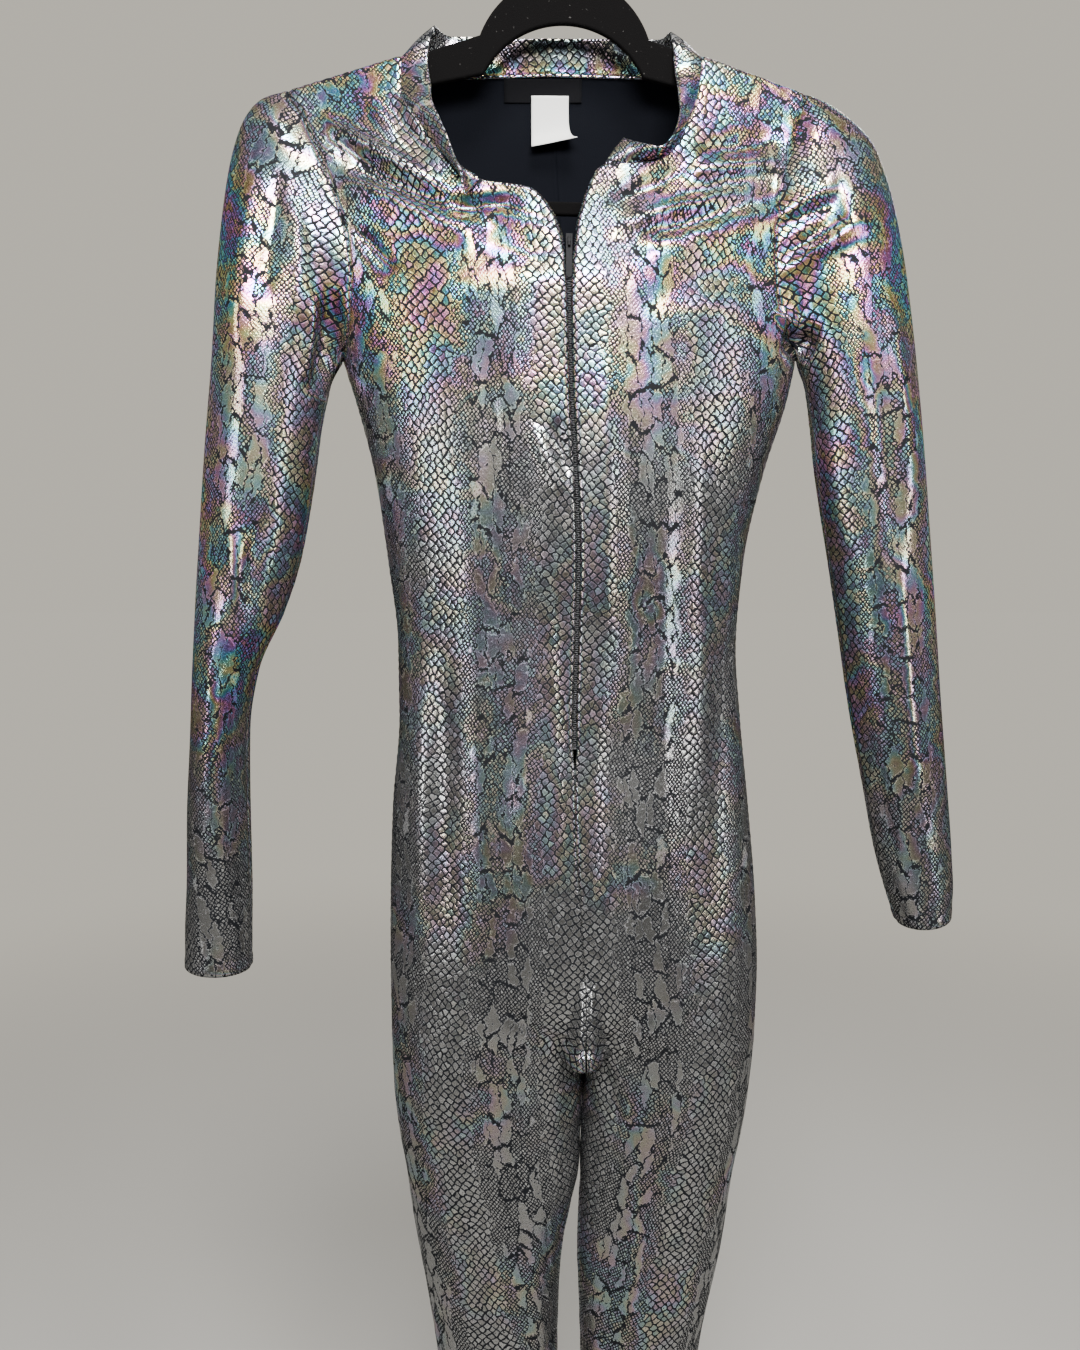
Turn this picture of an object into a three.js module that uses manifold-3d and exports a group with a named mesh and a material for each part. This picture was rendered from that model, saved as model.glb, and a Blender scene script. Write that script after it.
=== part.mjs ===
// Long-sleeved, zip-fronted unitard of foil-printed stretch cloth, hanging on a flocked hanger.
// Millimetres, +Z up, +X to the viewer's right, and the garment's front faces -Y.
// The origin is the inside top of the hook, where the rod sits. Left and right are the wearer's,
// so the wearer's right side has the negative X.
import * as THREE from "three";
import { mergeVertices } from "three/addons/utils/BufferGeometryUtils.js";
import Module from "manifold-3d";

// Driving dimensions
const CLOTH = 1.2;
const COLLAR_CLOTH = 1.6;
const SEAM_GAP = 0.3;
const ARMPIT_Z = -312;
const CROTCH_Z = -812;
const HEM_Z = -1520;
const SLIDER_Z = -241;
const ZIP_END_Z = -580;
const CHEST_DEPTH = { front: 55, back: 49 };

// Cells of the pattern pieces
const ACROSS = 10;
const TORSO_ROWS = 18;
const LEG_ROWS = 15;
const COLLAR_RISE = 3;

// The hanger, before it tilts about the rod
const HANGER = {
  thick: 5.5,
  tilt: THREE.MathUtils.degToRad(1.5),
  armSlope: THREE.MathUtils.degToRad(17.5),
  archBase: 57,
  archBaseZ: -100,
  archRadius: 61,
  archTopZ: -60,
  archInnerZ: -91,
  halfSpan: 184,
  armHeight: 19,
  tipHeight: 14,
  barHeight: 9,
  barZ: -209,
  barHalf: 146,
};
const HOOK = { wire: 3.5, inner: 20 };
const ARM_CLEARANCE = 2.2;

// The shoulder points beside the neck, and the crown of the ridge line between them
const NECK = { right: -112, left: 89, middle: -11, crownZ: -92 };

// The body, a row for each height: the side seams, the centre line, and how far front and back
// stand out in the middle of each half. Above the armpit the side columns are the wide oval that
// the armholes are cut from.
const BODY = [
  { z: -110, right: -420, left: 420, centre: -11, front: 38.9, back: 34.6 },
  { z: -150, right: -400, left: 400, centre: -8, front: 38.9, back: 34.6 },
  { z: -180, right: -300, left: 300, centre: -6, front: 38.9, back: 34.6 },
  { z: -223, right: -215, left: 215, centre: -3, front: 38.9, back: 34.6 },
  { z: -263, right: -178, left: 178, centre: -1, front: 38.9, back: 34.6 },
  { z: -290, right: -164, left: 166, centre: 0, front: 38.9, back: 34.6 },
  { z: -312, right: -157, left: 160, centre: 1, front: 38.9, back: 34.6 },
  { z: -340, right: -148, left: 154, centre: 2, front: 39.5, back: 35 },
  { z: -390, right: -136, left: 139, centre: 5, front: 40, back: 35 },
  { z: -450, right: -128, left: 127, centre: 7, front: 38, back: 32 },
  { z: -510, right: -122, left: 123, centre: 6, front: 35, back: 31 },
  { z: -560, right: -122, left: 127, centre: 5, front: 35, back: 34 },
  { z: -630, right: -128, left: 135, centre: 6, front: 38, back: 40 },
  { z: -700, right: -131, left: 142, centre: 10, front: 41, back: 46 },
  { z: -760, right: -132, left: 145, centre: 13, front: 44, back: 50 },
  { z: -812, right: -132, left: 144, centre: 14, front: 50, back: 57 },
];

// How far each half's section has turned from a quarter oval, open at the centre seam, to the
// closed oval of a leg, in degrees
const TURN = [
  { z: -670, turn: 90 },
  { z: -725, turn: 96 },
  { z: -762, turn: 108 },
  { z: -786, turn: 126 },
  { z: -801, turn: 151 },
  { z: -812, turn: 180 },
];

// The legs, a row for each height: outer and inner edges, and the depths in mid leg
const LEGS = [
  { z: -812, right: -132, rightIn: 13.2, leftIn: 14.8, left: 144, front: 50, back: 57 },
  { z: -850, right: -131, rightIn: 12.2, leftIn: 15, left: 141, front: 49, back: 55 },
  { z: -882, right: -128, rightIn: 11.2, leftIn: 14, left: 137, front: 47, back: 52 },
  { z: -923, right: -122, rightIn: 10, leftIn: 12.8, left: 130, front: 44, back: 48 },
  { z: -949, right: -119, rightIn: 5, leftIn: 11, left: 127, front: 42, back: 46 },
  { z: -983, right: -114, rightIn: -1, leftIn: 10, left: 123, front: 40, back: 44 },
  { z: -1020, right: -108, rightIn: -4, leftIn: 11, left: 116, front: 38, back: 42 },
  { z: -1075, right: -101, rightIn: -5, leftIn: 13, left: 107, front: 34, back: 37 },
  { z: -1150, right: -96, rightIn: -4, leftIn: 14, left: 101, front: 32, back: 34 },
  { z: -1220, right: -97, rightIn: -3, leftIn: 13, left: 101, front: 32, back: 37 },
  { z: -1300, right: -93, rightIn: -8, leftIn: 17, left: 97, front: 30, back: 36 },
  { z: -1420, right: -84, rightIn: -14, leftIn: 22, left: 88, front: 27, back: 30 },
  { z: -1520, right: -79, rightIn: -18, leftIn: 26, left: 83, front: 26, back: 28 },
];

// How far the shoulders stand off the hanger's plane, as a share of the chest's depth, by the
// drop below the ridge that lies on the hanger's arms
const SHOULDER = [
  { drop: 0, front: 0, back: 0 },
  { drop: 1.5, front: 0.084, back: 0.094 },
  { drop: 6, front: 0.12, back: 0.15 },
  { drop: 14, front: 0.17, back: 0.32 },
  { drop: 32, front: 0.27, back: 0.52 },
  { drop: 60, front: 0.45, back: 0.64 },
  { drop: 100, front: 0.68, back: 0.8 },
  { drop: 140, front: 0.87, back: 0.91 },
  { drop: 178, front: 1, back: 1 },
  { drop: 400, front: 1, back: 1 },
];

// Each yoke above the armpit, a row for each line from the armhole to the neck and centre edge.
// A height is given either as it is or as the drop below the shoulder ridge.
const YOKES = {
  frontRight: [
    { armX: -189, armDrop: 0, neckX: -112, neckDrop: 0 },
    { armX: -188.8, armDrop: 1.5, neckX: -112, neckDrop: 1.5 },
    { armX: -188, armDrop: 6, neckX: -112, neckDrop: 7 },
    { armX: -181, armZ: -147, neckX: -112, neckZ: -136 },
    { armX: -166, armZ: -180, neckX: -101, neckZ: -156 },
    { armX: -154, armZ: -210, neckX: -81, neckZ: -182 },
    { armX: -147, armZ: -240, neckX: -59, neckZ: -198 },
    { armX: -146, armZ: -266, neckX: -24, neckZ: -205 },
    { armX: -149, armZ: -285, neckX: -3.1, neckZ: SLIDER_Z },
    { armX: -153, armZ: -300, neckX: -1.1, neckZ: -275 },
    { armX: -157, armZ: ARMPIT_Z, neckX: 0, neckZ: ARMPIT_Z },
  ],
  frontLeft: [
    { armX: 160, armDrop: 0, neckX: 89, neckDrop: 0 },
    { armX: 159.9, armDrop: 1.5, neckX: 89, neckDrop: 1.5 },
    { armX: 159.5, armDrop: 6, neckX: 89, neckDrop: 7 },
    { armX: 156, armZ: -149, neckX: 86, neckZ: -138 },
    { armX: 148, armZ: -177, neckX: 77, neckZ: -162 },
    { armX: 141, armZ: -207, neckX: 54, neckZ: -186 },
    { armX: 139, armZ: -237, neckX: 23, neckZ: -189 },
    { armX: 140, armZ: -264, neckX: 10, neckZ: -210 },
    { armX: 146, armZ: -285, neckX: 2.9, neckZ: SLIDER_Z },
    { armX: 153, armZ: -300, neckX: 1.1, neckZ: -275 },
    { armX: 160, armZ: ARMPIT_Z, neckX: 2, neckZ: ARMPIT_Z },
  ],
  backRight: [
    { armX: -189, armDrop: 0, neckX: -112, neckDrop: 0 },
    { armX: -188.8, armDrop: 1.5, neckX: -111.6, neckDrop: 1.5 },
    { armX: -188, armDrop: 6, neckX: -108, neckZ: -116 },
    { armX: -185, armZ: -148, neckX: -96, neckZ: -119 },
    { armX: -178, armZ: -178, neckX: -74, neckZ: -118.5 },
    { armX: -170, armZ: -208, neckX: -45, neckZ: -117 },
    { armX: -164, armZ: -237, neckX: -11.2, neckZ: -115.5 },
    { armX: -160, armZ: -262, neckX: -7.7, neckZ: -170 },
    { armX: -158, armZ: -282, neckX: -4.2, neckZ: -220 },
    { armX: -157, armZ: -298, neckX: -1.2, neckZ: -268 },
    { armX: -157, armZ: ARMPIT_Z, neckX: 0.85, neckZ: ARMPIT_Z },
  ],
  backLeft: [
    { armX: 160, armDrop: 0, neckX: 89, neckDrop: 0 },
    { armX: 159.9, armDrop: 1.5, neckX: 88.6, neckDrop: 1.5 },
    { armX: 159.5, armDrop: 6, neckX: 85, neckZ: -116 },
    { armX: 158, armZ: -150, neckX: 73, neckZ: -119 },
    { armX: 155, armZ: -178, neckX: 51, neckZ: -118.5 },
    { armX: 152, armZ: -207, neckX: 22, neckZ: -117 },
    { armX: 151, armZ: -236, neckX: -10.9, neckZ: -115.5 },
    { armX: 152, armZ: -262, neckX: -7.4, neckZ: -170 },
    { armX: 154, armZ: -282, neckX: -3.9, neckZ: -220 },
    { armX: 157, armZ: -298, neckX: -0.9, neckZ: -268 },
    { armX: 160, armZ: ARMPIT_Z, neckX: 1.15, neckZ: ARMPIT_Z },
  ],
};

// Where the collar's rim stands from its seam, a row for each yoke line up to the collar's end
const COLLAR_RIM = {
  frontRight: [
    { x: 21, y: 1, z: 20 },
    { x: 18, y: -1, z: 9 },
    { x: 17, y: -2, z: 1 },
    { x: 20, y: -8, z: -3 },
    { x: 18, y: -13, z: -9 },
    { x: 9, y: -17, z: -12 },
    { x: -9, y: -12, z: -13 },
  ],
  frontLeft: [
    { x: -19, y: 1, z: 16 },
    { x: -18, y: -1, z: 7 },
    { x: -17, y: -2, z: -4 },
    { x: -12, y: -10, z: -9 },
    { x: -6, y: -14, z: -5 },
    { x: 3, y: -10, z: 5 },
    { x: 13, y: 6, z: 18 },
  ],
  backRight: [
    { x: 21, y: 1, z: 20 },
    { x: 21, y: 4, z: 23 },
    { x: 20, y: 6, z: 26 },
    { x: 16, y: 6, z: 28 },
    { x: 10, y: 5, z: 28 },
    { x: 4, y: 5, z: 26 },
    { x: 0, y: 5, z: 25 },
  ],
  backLeft: [
    { x: -19, y: 1, z: 16 },
    { x: -19, y: 4, z: 19 },
    { x: -17, y: 6, z: 23 },
    { x: -13, y: 6, z: 26 },
    { x: -7, y: 5, z: 27 },
    { x: -2, y: 5, z: 26 },
    { x: 0, y: 5, z: 25 },
  ],
};

// The sleeves, a row for each ring below the armhole: its outer and inner edge, its half depth,
// how far back its middle lies, and how far its flat sides bow towards the body
const SLEEVES = {
  right: [
    { outX: -207, outZ: -138, inX: -159, inZ: -316, depth: 29, back: 0, bow: 13 },
    { outX: -219, outZ: -150, inX: -162, inZ: -321, depth: 32, back: 0, bow: 9 },
    { outX: -229, outZ: -176, inX: -165, inZ: -328, depth: 34, back: -1, bow: 6 },
    { outX: -236, outZ: -210, inX: -168, inZ: -339, depth: 36, back: -1, bow: 3 },
    { outX: -242, outZ: -254, inX: -173, inZ: -356, depth: 37, back: -2, bow: 1 },
    { outX: -247, outZ: -308, inX: -177, inZ: -382, depth: 37, back: -3, bow: 0 },
    { outX: -254, outZ: -368, inX: -183, inZ: -416, depth: 37, back: -4, bow: 0 },
    { outX: -260, outZ: -428, inX: -191, inZ: -452, depth: 37, back: -5, bow: 0 },
    { outX: -265, outZ: -484, inX: -204, inZ: -488, depth: 38, back: -6, bow: 0 },
    { outX: -268, outZ: -532, inX: -224, inZ: -530, depth: 40, back: -7, bow: 0 },
    { outX: -271, outZ: -576, inX: -232, inZ: -575, depth: 38, back: -8, bow: 0 },
    { outX: -276, outZ: -630, inX: -233, inZ: -630, depth: 34, back: -9, bow: 0 },
    { outX: -279, outZ: -684, inX: -233, inZ: -684, depth: 30, back: -10, bow: 0 },
    { outX: -282, outZ: -722, inX: -234, inZ: -724, depth: 27, back: -11, bow: 0 },
    { outX: -283, outZ: -748, inX: -235, inZ: -751, depth: 26, back: -11, bow: 0 },
  ],
  left: [
    { outX: 176, outZ: -141, inX: 163, inZ: -318, depth: 29, back: 0, bow: 14 },
    { outX: 191, outZ: -151, inX: 165, inZ: -324, depth: 32, back: 0, bow: 10 },
    { outX: 206, outZ: -166, inX: 167, inZ: -331, depth: 34, back: -1, bow: 6 },
    { outX: 219, outZ: -195, inX: 169, inZ: -341, depth: 36, back: -1, bow: 3 },
    { outX: 230, outZ: -238, inX: 172, inZ: -357, depth: 36, back: -2, bow: 1 },
    { outX: 240, outZ: -296, inX: 175, inZ: -382, depth: 36, back: -3, bow: 0 },
    { outX: 249, outZ: -360, inX: 180, inZ: -412, depth: 35, back: -4, bow: 0 },
    { outX: 257, outZ: -428, inX: 187, inZ: -449, depth: 34, back: -5, bow: 0 },
    { outX: 264, outZ: -489, inX: 194, inZ: -489, depth: 32, back: -6, bow: 0 },
    { outX: 270, outZ: -546, inX: 204, inZ: -547, depth: 31, back: -7, bow: 0 },
    { outX: 277, outZ: -606, inX: 217, inZ: -609, depth: 30, back: -8, bow: 0 },
    { outX: 283, outZ: -660, inX: 229, inZ: -664, depth: 29, back: -9, bow: 0 },
    { outX: 285, outZ: -690, inX: 239, inZ: -697, depth: 29, back: -10, bow: 0 },
    { outX: 284, outZ: -708, inX: 246, inZ: -716, depth: 29, back: -10, bow: 0 },
  ],
};

// The largest folds, a row each: from one end to the other in the front view, how far the cloth
// stands in (positive) or out (negative), and half the fold's width
const FOLDS = {
  front: [
    { x0: -172, z0: -160, x1: -92, z1: -202, deep: -4, wide: 8 },
    { x0: -160, z0: -178, x1: -60, z1: -222, deep: 4, wide: 9 },
    { x0: -150, z0: -206, x1: -52, z1: -240, deep: -4, wide: 10 },
    { x0: -76, z0: -226, x1: -8, z1: -226, deep: 4, wide: 8 },
    { x0: 150, z0: -186, x1: 60, z1: -214, deep: 4, wide: 9 },
    { x0: 146, z0: -214, x1: 30, z1: -256, deep: -4, wide: 10 },
    { x0: 140, z0: -244, x1: 40, z1: -282, deep: 3, wide: 10 },
    { x0: -30, z0: -330, x1: -26, z1: -620, deep: 3, wide: 12 },
    { x0: 38, z0: -320, x1: 36, z1: -700, deep: 3, wide: 12 },
    { x0: 66, z0: -350, x1: 62, z1: -760, deep: -3, wide: 13 },
    { x0: -70, z0: -360, x1: -62, z1: -700, deep: -3, wide: 14 },
    { x0: 96, z0: -420, x1: 100, z1: -820, deep: 3, wide: 13 },
    { x0: -50, z0: -760, x1: -40, z1: -1000, deep: 3, wide: 12 },
    { x0: 66, z0: -800, x1: 62, z1: -1040, deep: 3, wide: 12 },
  ],
  back: [
    { x0: -165, z0: -180, x1: -60, z1: -230, deep: 4, wide: 10 },
    { x0: 140, z0: -186, x1: 40, z1: -240, deep: 4, wide: 10 },
    { x0: -110, z0: -470, x1: -20, z1: -500, deep: 4, wide: 11 },
    { x0: 112, z0: -456, x1: 24, z1: -490, deep: 4, wide: 11 },
    { x0: -96, z0: -522, x1: 10, z1: -532, deep: 3, wide: 11 },
    { x0: -60, z0: -330, x1: -52, z1: -460, deep: 3, wide: 13 },
    { x0: 64, z0: -330, x1: 58, z1: -450, deep: 3, wide: 13 },
    { x0: -70, z0: -820, x1: -40, z1: -860, deep: 4, wide: 12 },
    { x0: 84, z0: -820, x1: 54, z1: -862, deep: 4, wide: 12 },
  ],
};

// Materials
const SHADES = {
  foil: { color: 0x8f9299, roughness: 0.35, metalness: 0.7 },
  flock: { color: 0x0c0c0e, roughness: 0.95, metalness: 0 },
  steel: { color: 0xb9bcc0, roughness: 0.25, metalness: 1 },
  tape: { color: 0x111217, roughness: 0.8, metalness: 0 },
  paper: { color: 0xe6e4de, roughness: 0.7, metalness: 0 },
};

const garment = new THREE.Group();

function addPiece(name, shade, geometry) {
  const mesh = new THREE.Mesh(geometry, new THREE.MeshStandardMaterial(SHADES[shade]));
  mesh.name = name;
  garment.add(mesh);
}

// Reads one column of a table between its rows on a smooth curve that never overshoots
function column(rows, along, key) {
  const at = rows.map((row) => row[along]);
  const value = rows.map((row) => row[key]);
  const steps = value.slice(1).map((v, i) => (v - value[i]) / (at[i + 1] - at[i]));
  const slopes = value.map((v, i) => {
    if (i === 0) return steps[0];
    if (i === steps.length) return steps[i - 1];
    const same = steps[i - 1] * steps[i] > 0;
    return same ? (2 * steps[i - 1] * steps[i]) / (steps[i - 1] + steps[i]) : 0;
  });
  const rising = at[1] > at[0];
  return (where) => {
    let i = at.findIndex((a) => (rising ? a > where : a < where)) - 1;
    if (i === -1) return value[0];
    if (i === -2) return value[value.length - 1];
    const span = at[i + 1] - at[i];
    const t = (where - at[i]) / span;
    const rise = t * t * (3 - 2 * t);
    const bend = span * t * (1 - t) * ((1 - t) * slopes[i] - t * slopes[i + 1]);
    return value[i] + (value[i + 1] - value[i]) * rise + bend;
  };
}

function columns(rows, along, keys) {
  return Object.fromEntries(keys.map((key) => [key, column(rows, along, key)]));
}

const body = columns(BODY, "z", ["right", "left", "centre", "front", "back"]);
const legs = columns(LEGS, "z", ["right", "rightIn", "leftIn", "left", "front", "back"]);
const turnAt = column(TURN, "z", "turn");
const shoulder = columns(SHOULDER, "drop", ["front", "back"]);

// Top of the hanger's arm at a distance from the middle, before the hanger tilts
function armTop(out) {
  return HANGER.archBaseZ - (out - HANGER.archBase) * Math.tan(HANGER.armSlope);
}

// Turns a point of the hanger's own plane about the rod
function tilted(x, z) {
  const c = Math.cos(HANGER.tilt);
  const s = Math.sin(HANGER.tilt);
  return [x * c + z * s, z * c - x * s];
}

// Height of the shoulder ridge: over the hanger's arms as far as the neck, and from there on the
// line that the shoulders would keep up to the crown above the middle of the neck
function ridge(x) {
  if (x > NECK.right && x < NECK.left) {
    const hps = x < NECK.middle ? NECK.right : NECK.left;
    const share = (x - hps) / (NECK.middle - hps);
    return THREE.MathUtils.lerp(ridge(hps), NECK.crownZ, Math.sin((share * Math.PI) / 2));
  }
  const sign = x < NECK.middle ? -1 : 1;
  const [baseX, baseZ] = tilted(sign * HANGER.archBase, HANGER.archBaseZ);
  const [endX, endZ] = tilted(sign * HANGER.halfSpan, armTop(HANGER.halfSpan));
  const share = (x - baseX) / (endX - baseX);
  return baseZ + (endZ - baseZ) * share + ARM_CLEARANCE + CLOTH;
}

// How far the folds take the cloth in at a point of the front view
function foldDepth(face, x, z) {
  let depth = 0;
  for (const fold of FOLDS[face]) {
    const alongX = fold.x1 - fold.x0;
    const alongZ = fold.z1 - fold.z0;
    const length2 = alongX ** 2 + alongZ ** 2;
    const t = ((x - fold.x0) * alongX + (z - fold.z0) * alongZ) / length2;
    const across = ((x - fold.x0) * alongZ - (z - fold.z0) * alongX) / Math.sqrt(length2);
    const fade = Math.max(0, 1 - (2 * t - 1) ** 2);
    depth += fold.deep * fade * Math.exp(-((across / fold.wide) ** 2));
  }
  return depth;
}

// How far round its oval a point of the yoke lies, in radians from the side seam
function ovalAngle(side, x, z) {
  const reach = (x - body.centre(z)) / (body[side](z) - body.centre(z));
  return Math.acos(THREE.MathUtils.clamp(reach, -1, 1));
}

// How far the yoke's outer face stands off the hanger's plane
function yokeDepth(side, face, x, z) {
  const out = shoulder[face](Math.max(0, ridge(x) - z)) * CHEST_DEPTH[face];
  const fold = foldDepth(face, x, z) * Math.min(1, out / 12);
  return (out - fold) * Math.sin(ovalAngle(side, x, z));
}

// A point of a yoke, between the armhole and the neck or centre edge
function yokePoint(side, face, row, u) {
  const armZ = row.armZ ?? ridge(row.armX) - row.armDrop;
  const neckZ = row.neckZ ?? ridge(row.neckX) - row.neckDrop;
  const armAngle = ovalAngle(side, row.armX, armZ);
  const neckAngle = ovalAngle(side, row.neckX, neckZ);
  const here = Math.cos(THREE.MathUtils.lerp(armAngle, neckAngle, u));
  const share = (here - Math.cos(armAngle)) / (Math.cos(neckAngle) - Math.cos(armAngle));
  const x = THREE.MathUtils.lerp(row.armX, row.neckX, share);
  const z = THREE.MathUtils.lerp(armZ, neckZ, share);
  const depth = yokeDepth(side, face, x, z);
  return new THREE.Vector3(x, face === "front" ? -depth : depth, z);
}

// Half of the slit at the front's centre: held open by the slider, narrow over the zip, a seam
// below it. The back has a seam all the way.
const SLIT = [
  { z: ARMPIT_Z, half: 1 },
  { z: ZIP_END_Z, half: 1 },
  { z: ZIP_END_Z - 14, half: SEAM_GAP / 2 },
  { z: CROTCH_Z + 40, half: SEAM_GAP / 2 },
  { z: CROTCH_Z, half: 0.8 },
];
const slitAt = column(SLIT, "z", "half");

// A point of the trunk or a leg, between the side seam and the centre seam or inseam
function lowerPoint(side, face, z, u) {
  const faceSign = face === "front" ? -1 : 1;
  const sideSign = side === "right" ? -1 : 1;
  const onLeg = z <= CROTCH_Z;
  const turn = THREE.MathUtils.degToRad(onLeg ? 180 : turnAt(z));
  const outer = onLeg ? legs[side](z) : body[side](z);
  const half = face === "front" ? slitAt(z) : Math.max(SEAM_GAP / 2, z < CROTCH_Z + 40 ? slitAt(z) : 0);
  const inner = onLeg ? legs[side + "In"](z) : body.centre(z) + sideSign * half;
  const reach = (outer - inner) / (1 - Math.cos(turn));
  const x = outer - reach + reach * Math.cos(turn * u);
  const depth = (onLeg ? legs[face](z) : body[face](z)) / Math.sin(turn / 2);
  const fold = foldDepth(face, x, z);
  return new THREE.Vector3(x, faceSign * (depth - fold) * Math.sin(turn * u), z);
}

// Heights of the rows below the armpit, closer together at the crotch
function lowerHeights() {
  const heights = [];
  for (let i = 1; i <= TORSO_ROWS; i++) {
    const share = 1 - (1 - i / TORSO_ROWS) ** 1.35;
    heights.push(THREE.MathUtils.lerp(ARMPIT_Z, CROTCH_Z, share));
  }
  for (let i = 1; i <= LEG_ROWS; i++) {
    const share = (i / LEG_ROWS) ** 1.3;
    heights.push(THREE.MathUtils.lerp(CROTCH_Z, HEM_Z, share));
  }
  return heights;
}

// One front or back panel, shoulder to hem: rows run down, and columns from the side to the centre
function panelGrid(side, face) {
  const yoke = YOKES[face + (side === "right" ? "Right" : "Left")];
  const shares = Array.from({ length: ACROSS + 1 }, (_, i) => i / ACROSS);
  const upper = yoke.map((row) => shares.map((u) => yokePoint(side, face, row, u)));
  const lower = lowerHeights().map((z) => shares.map((u) => lowerPoint(side, face, z, u)));
  return [...upper, ...lower];
}

// A sleeve: rows run down from the armhole, columns go round from the armpit over the front, the
// outside and the back to the armpit again
function sleeveGrid(side, front, back) {
  const yokeRows = YOKES.frontRight.length;
  const armhole = [];
  for (let i = yokeRows - 1; i >= 0; i--) armhole.push(front[i][0].clone());
  for (let i = 1; i < yokeRows; i++) armhole.push(back[i][0].clone());
  const tip = armhole[yokeRows - 1];
  const pit = armhole[0];
  const chord = tip.clone().sub(pit);
  const angles = armhole.map((point, i) => {
    const share = point.clone().sub(pit).dot(chord) / chord.lengthSq();
    const angle = Math.acos(THREE.MathUtils.clamp(1 - 2 * share, -1, 1));
    return i < yokeRows ? angle : 2 * Math.PI - angle;
  });
  const inward = side === "right" ? 1 : -1;
  const rings = SLEEVES[side].map((ring) => {
    const outer = new THREE.Vector3(ring.outX, ring.back, ring.outZ);
    const inner = new THREE.Vector3(ring.inX, ring.back, ring.inZ);
    const middle = outer.clone().add(inner).multiplyScalar(0.5);
    const half = outer.clone().sub(inner).multiplyScalar(0.5);
    const across = new THREE.Vector3(half.z, 0, -half.x).normalize().multiplyScalar(inward * ring.bow);
    return angles.map((angle) => {
      const point = middle.clone().addScaledVector(half, -Math.cos(angle));
      point.y -= ring.depth * Math.sin(angle);
      return point.addScaledVector(across, Math.sin(angle) ** 2);
    });
  });
  return [armhole, ...rings];
}

// Outward normals of all the cloth, shared along the seams where pieces meet
function sharedNormals(grids) {
  const sums = new Map();
  const keyOf = (p) => [p.x, p.y, p.z].map((v) => Math.round(v * 100)).join();
  for (const { grid, flip } of grids) {
    for (let r = 0; r + 1 < grid.length; r++) {
      for (let c = 0; c + 1 < grid[r].length; c++) {
        const corners = [grid[r][c], grid[r][c + 1], grid[r + 1][c + 1], grid[r + 1][c]];
        const first = corners[2].clone().sub(corners[0]);
        const normal = first.cross(corners[3].clone().sub(corners[1]));
        if (flip) normal.negate();
        for (const corner of corners) {
          const key = keyOf(corner);
          if (!sums.has(key)) sums.set(key, new THREE.Vector3());
          sums.get(key).add(normal);
        }
      }
    }
  }
  return (point) => sums.get(keyOf(point)).clone().normalize();
}

// Moves the listed edges of a grid back from the seam line
function pulledBack(grid, edges, gap) {
  const rows = grid.length;
  const cols = grid[0].length;
  const moved = grid.map((row) => row.map((point) => point.clone()));
  const shift = (r, c, toR, toC) => {
    const step = grid[toR][toC].clone().sub(grid[r][c]);
    moved[r][c].addScaledVector(step.normalize(), gap);
  };
  for (let c = 0; c < cols; c++) {
    if (edges.top) shift(0, c, 1, c);
    if (edges.bottom) shift(rows - 1, c, rows - 2, c);
  }
  for (let r = 0; r < rows; r++) {
    if (edges.first && r >= (edges.firstFrom ?? 0)) shift(r, 0, r, 1);
    if (edges.last && r >= (edges.lastFrom ?? 0)) shift(r, cols - 1, r, cols - 2);
  }
  return moved;
}

// A closed wall between two grids of points, the first one outside
function wallBetween(outside, inside, flip) {
  const rows = outside.length;
  const cols = outside[0].length;
  const positions = [...outside.flat(), ...inside.flat()].flatMap((p) => [p.x, p.y, p.z]);
  const at = (layer, r, c) => layer * rows * cols + r * cols + c;
  const faces = [];
  const quad = (a, b, c, d) => {
    if (flip) faces.push(a, c, b, a, d, c);
    else faces.push(a, b, c, a, c, d);
  };
  for (let r = 0; r + 1 < rows; r++) {
    for (let c = 0; c + 1 < cols; c++) {
      quad(at(0, r, c), at(0, r, c + 1), at(0, r + 1, c + 1), at(0, r + 1, c));
      quad(at(1, r, c), at(1, r + 1, c), at(1, r + 1, c + 1), at(1, r, c + 1));
    }
  }
  for (let c = 0; c + 1 < cols; c++) {
    quad(at(0, 0, c), at(1, 0, c), at(1, 0, c + 1), at(0, 0, c + 1));
    quad(at(0, rows - 1, c), at(0, rows - 1, c + 1), at(1, rows - 1, c + 1), at(1, rows - 1, c));
  }
  for (let r = 0; r + 1 < rows; r++) {
    quad(at(0, r, 0), at(0, r + 1, 0), at(1, r + 1, 0), at(1, r, 0));
    quad(at(0, r, cols - 1), at(1, r, cols - 1), at(1, r + 1, cols - 1), at(0, r + 1, cols - 1));
  }
  const geometry = new THREE.BufferGeometry();
  geometry.setAttribute("position", new THREE.Float32BufferAttribute(positions, 3));
  geometry.setIndex(faces);
  return geometry;
}

// Cloth of one piece: its outer points pulled back at the seams, its inner ones a wall further in
function clothWall(grid, flip, normalAt, edges) {
  const outside = pulledBack(grid, edges, SEAM_GAP / 2);
  const inside = outside.map((row, r) => row.map((point, c) => {
    return point.clone().addScaledVector(normalAt(grid[r][c]), -CLOTH);
  }));
  return wallBetween(outside, inside, flip);
}

// Body and sleeves
const panels = {
  frontRight: { name: "front_right", grid: panelGrid("right", "front"), flip: true },
  frontLeft: { name: "front_left", grid: panelGrid("left", "front"), flip: false },
  backRight: { name: "back_right", grid: panelGrid("right", "back"), flip: false },
  backLeft: { name: "back_left", grid: panelGrid("left", "back"), flip: true },
};
const sleeves = {
  right: {
    name: "sleeve_right",
    grid: sleeveGrid("right", panels.frontRight.grid, panels.backRight.grid),
    flip: false,
  },
  left: {
    name: "sleeve_left",
    grid: sleeveGrid("left", panels.frontLeft.grid, panels.backLeft.grid),
    flip: true,
  },
};
const clothNormal = sharedNormals([...Object.values(panels), ...Object.values(sleeves)]);
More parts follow.
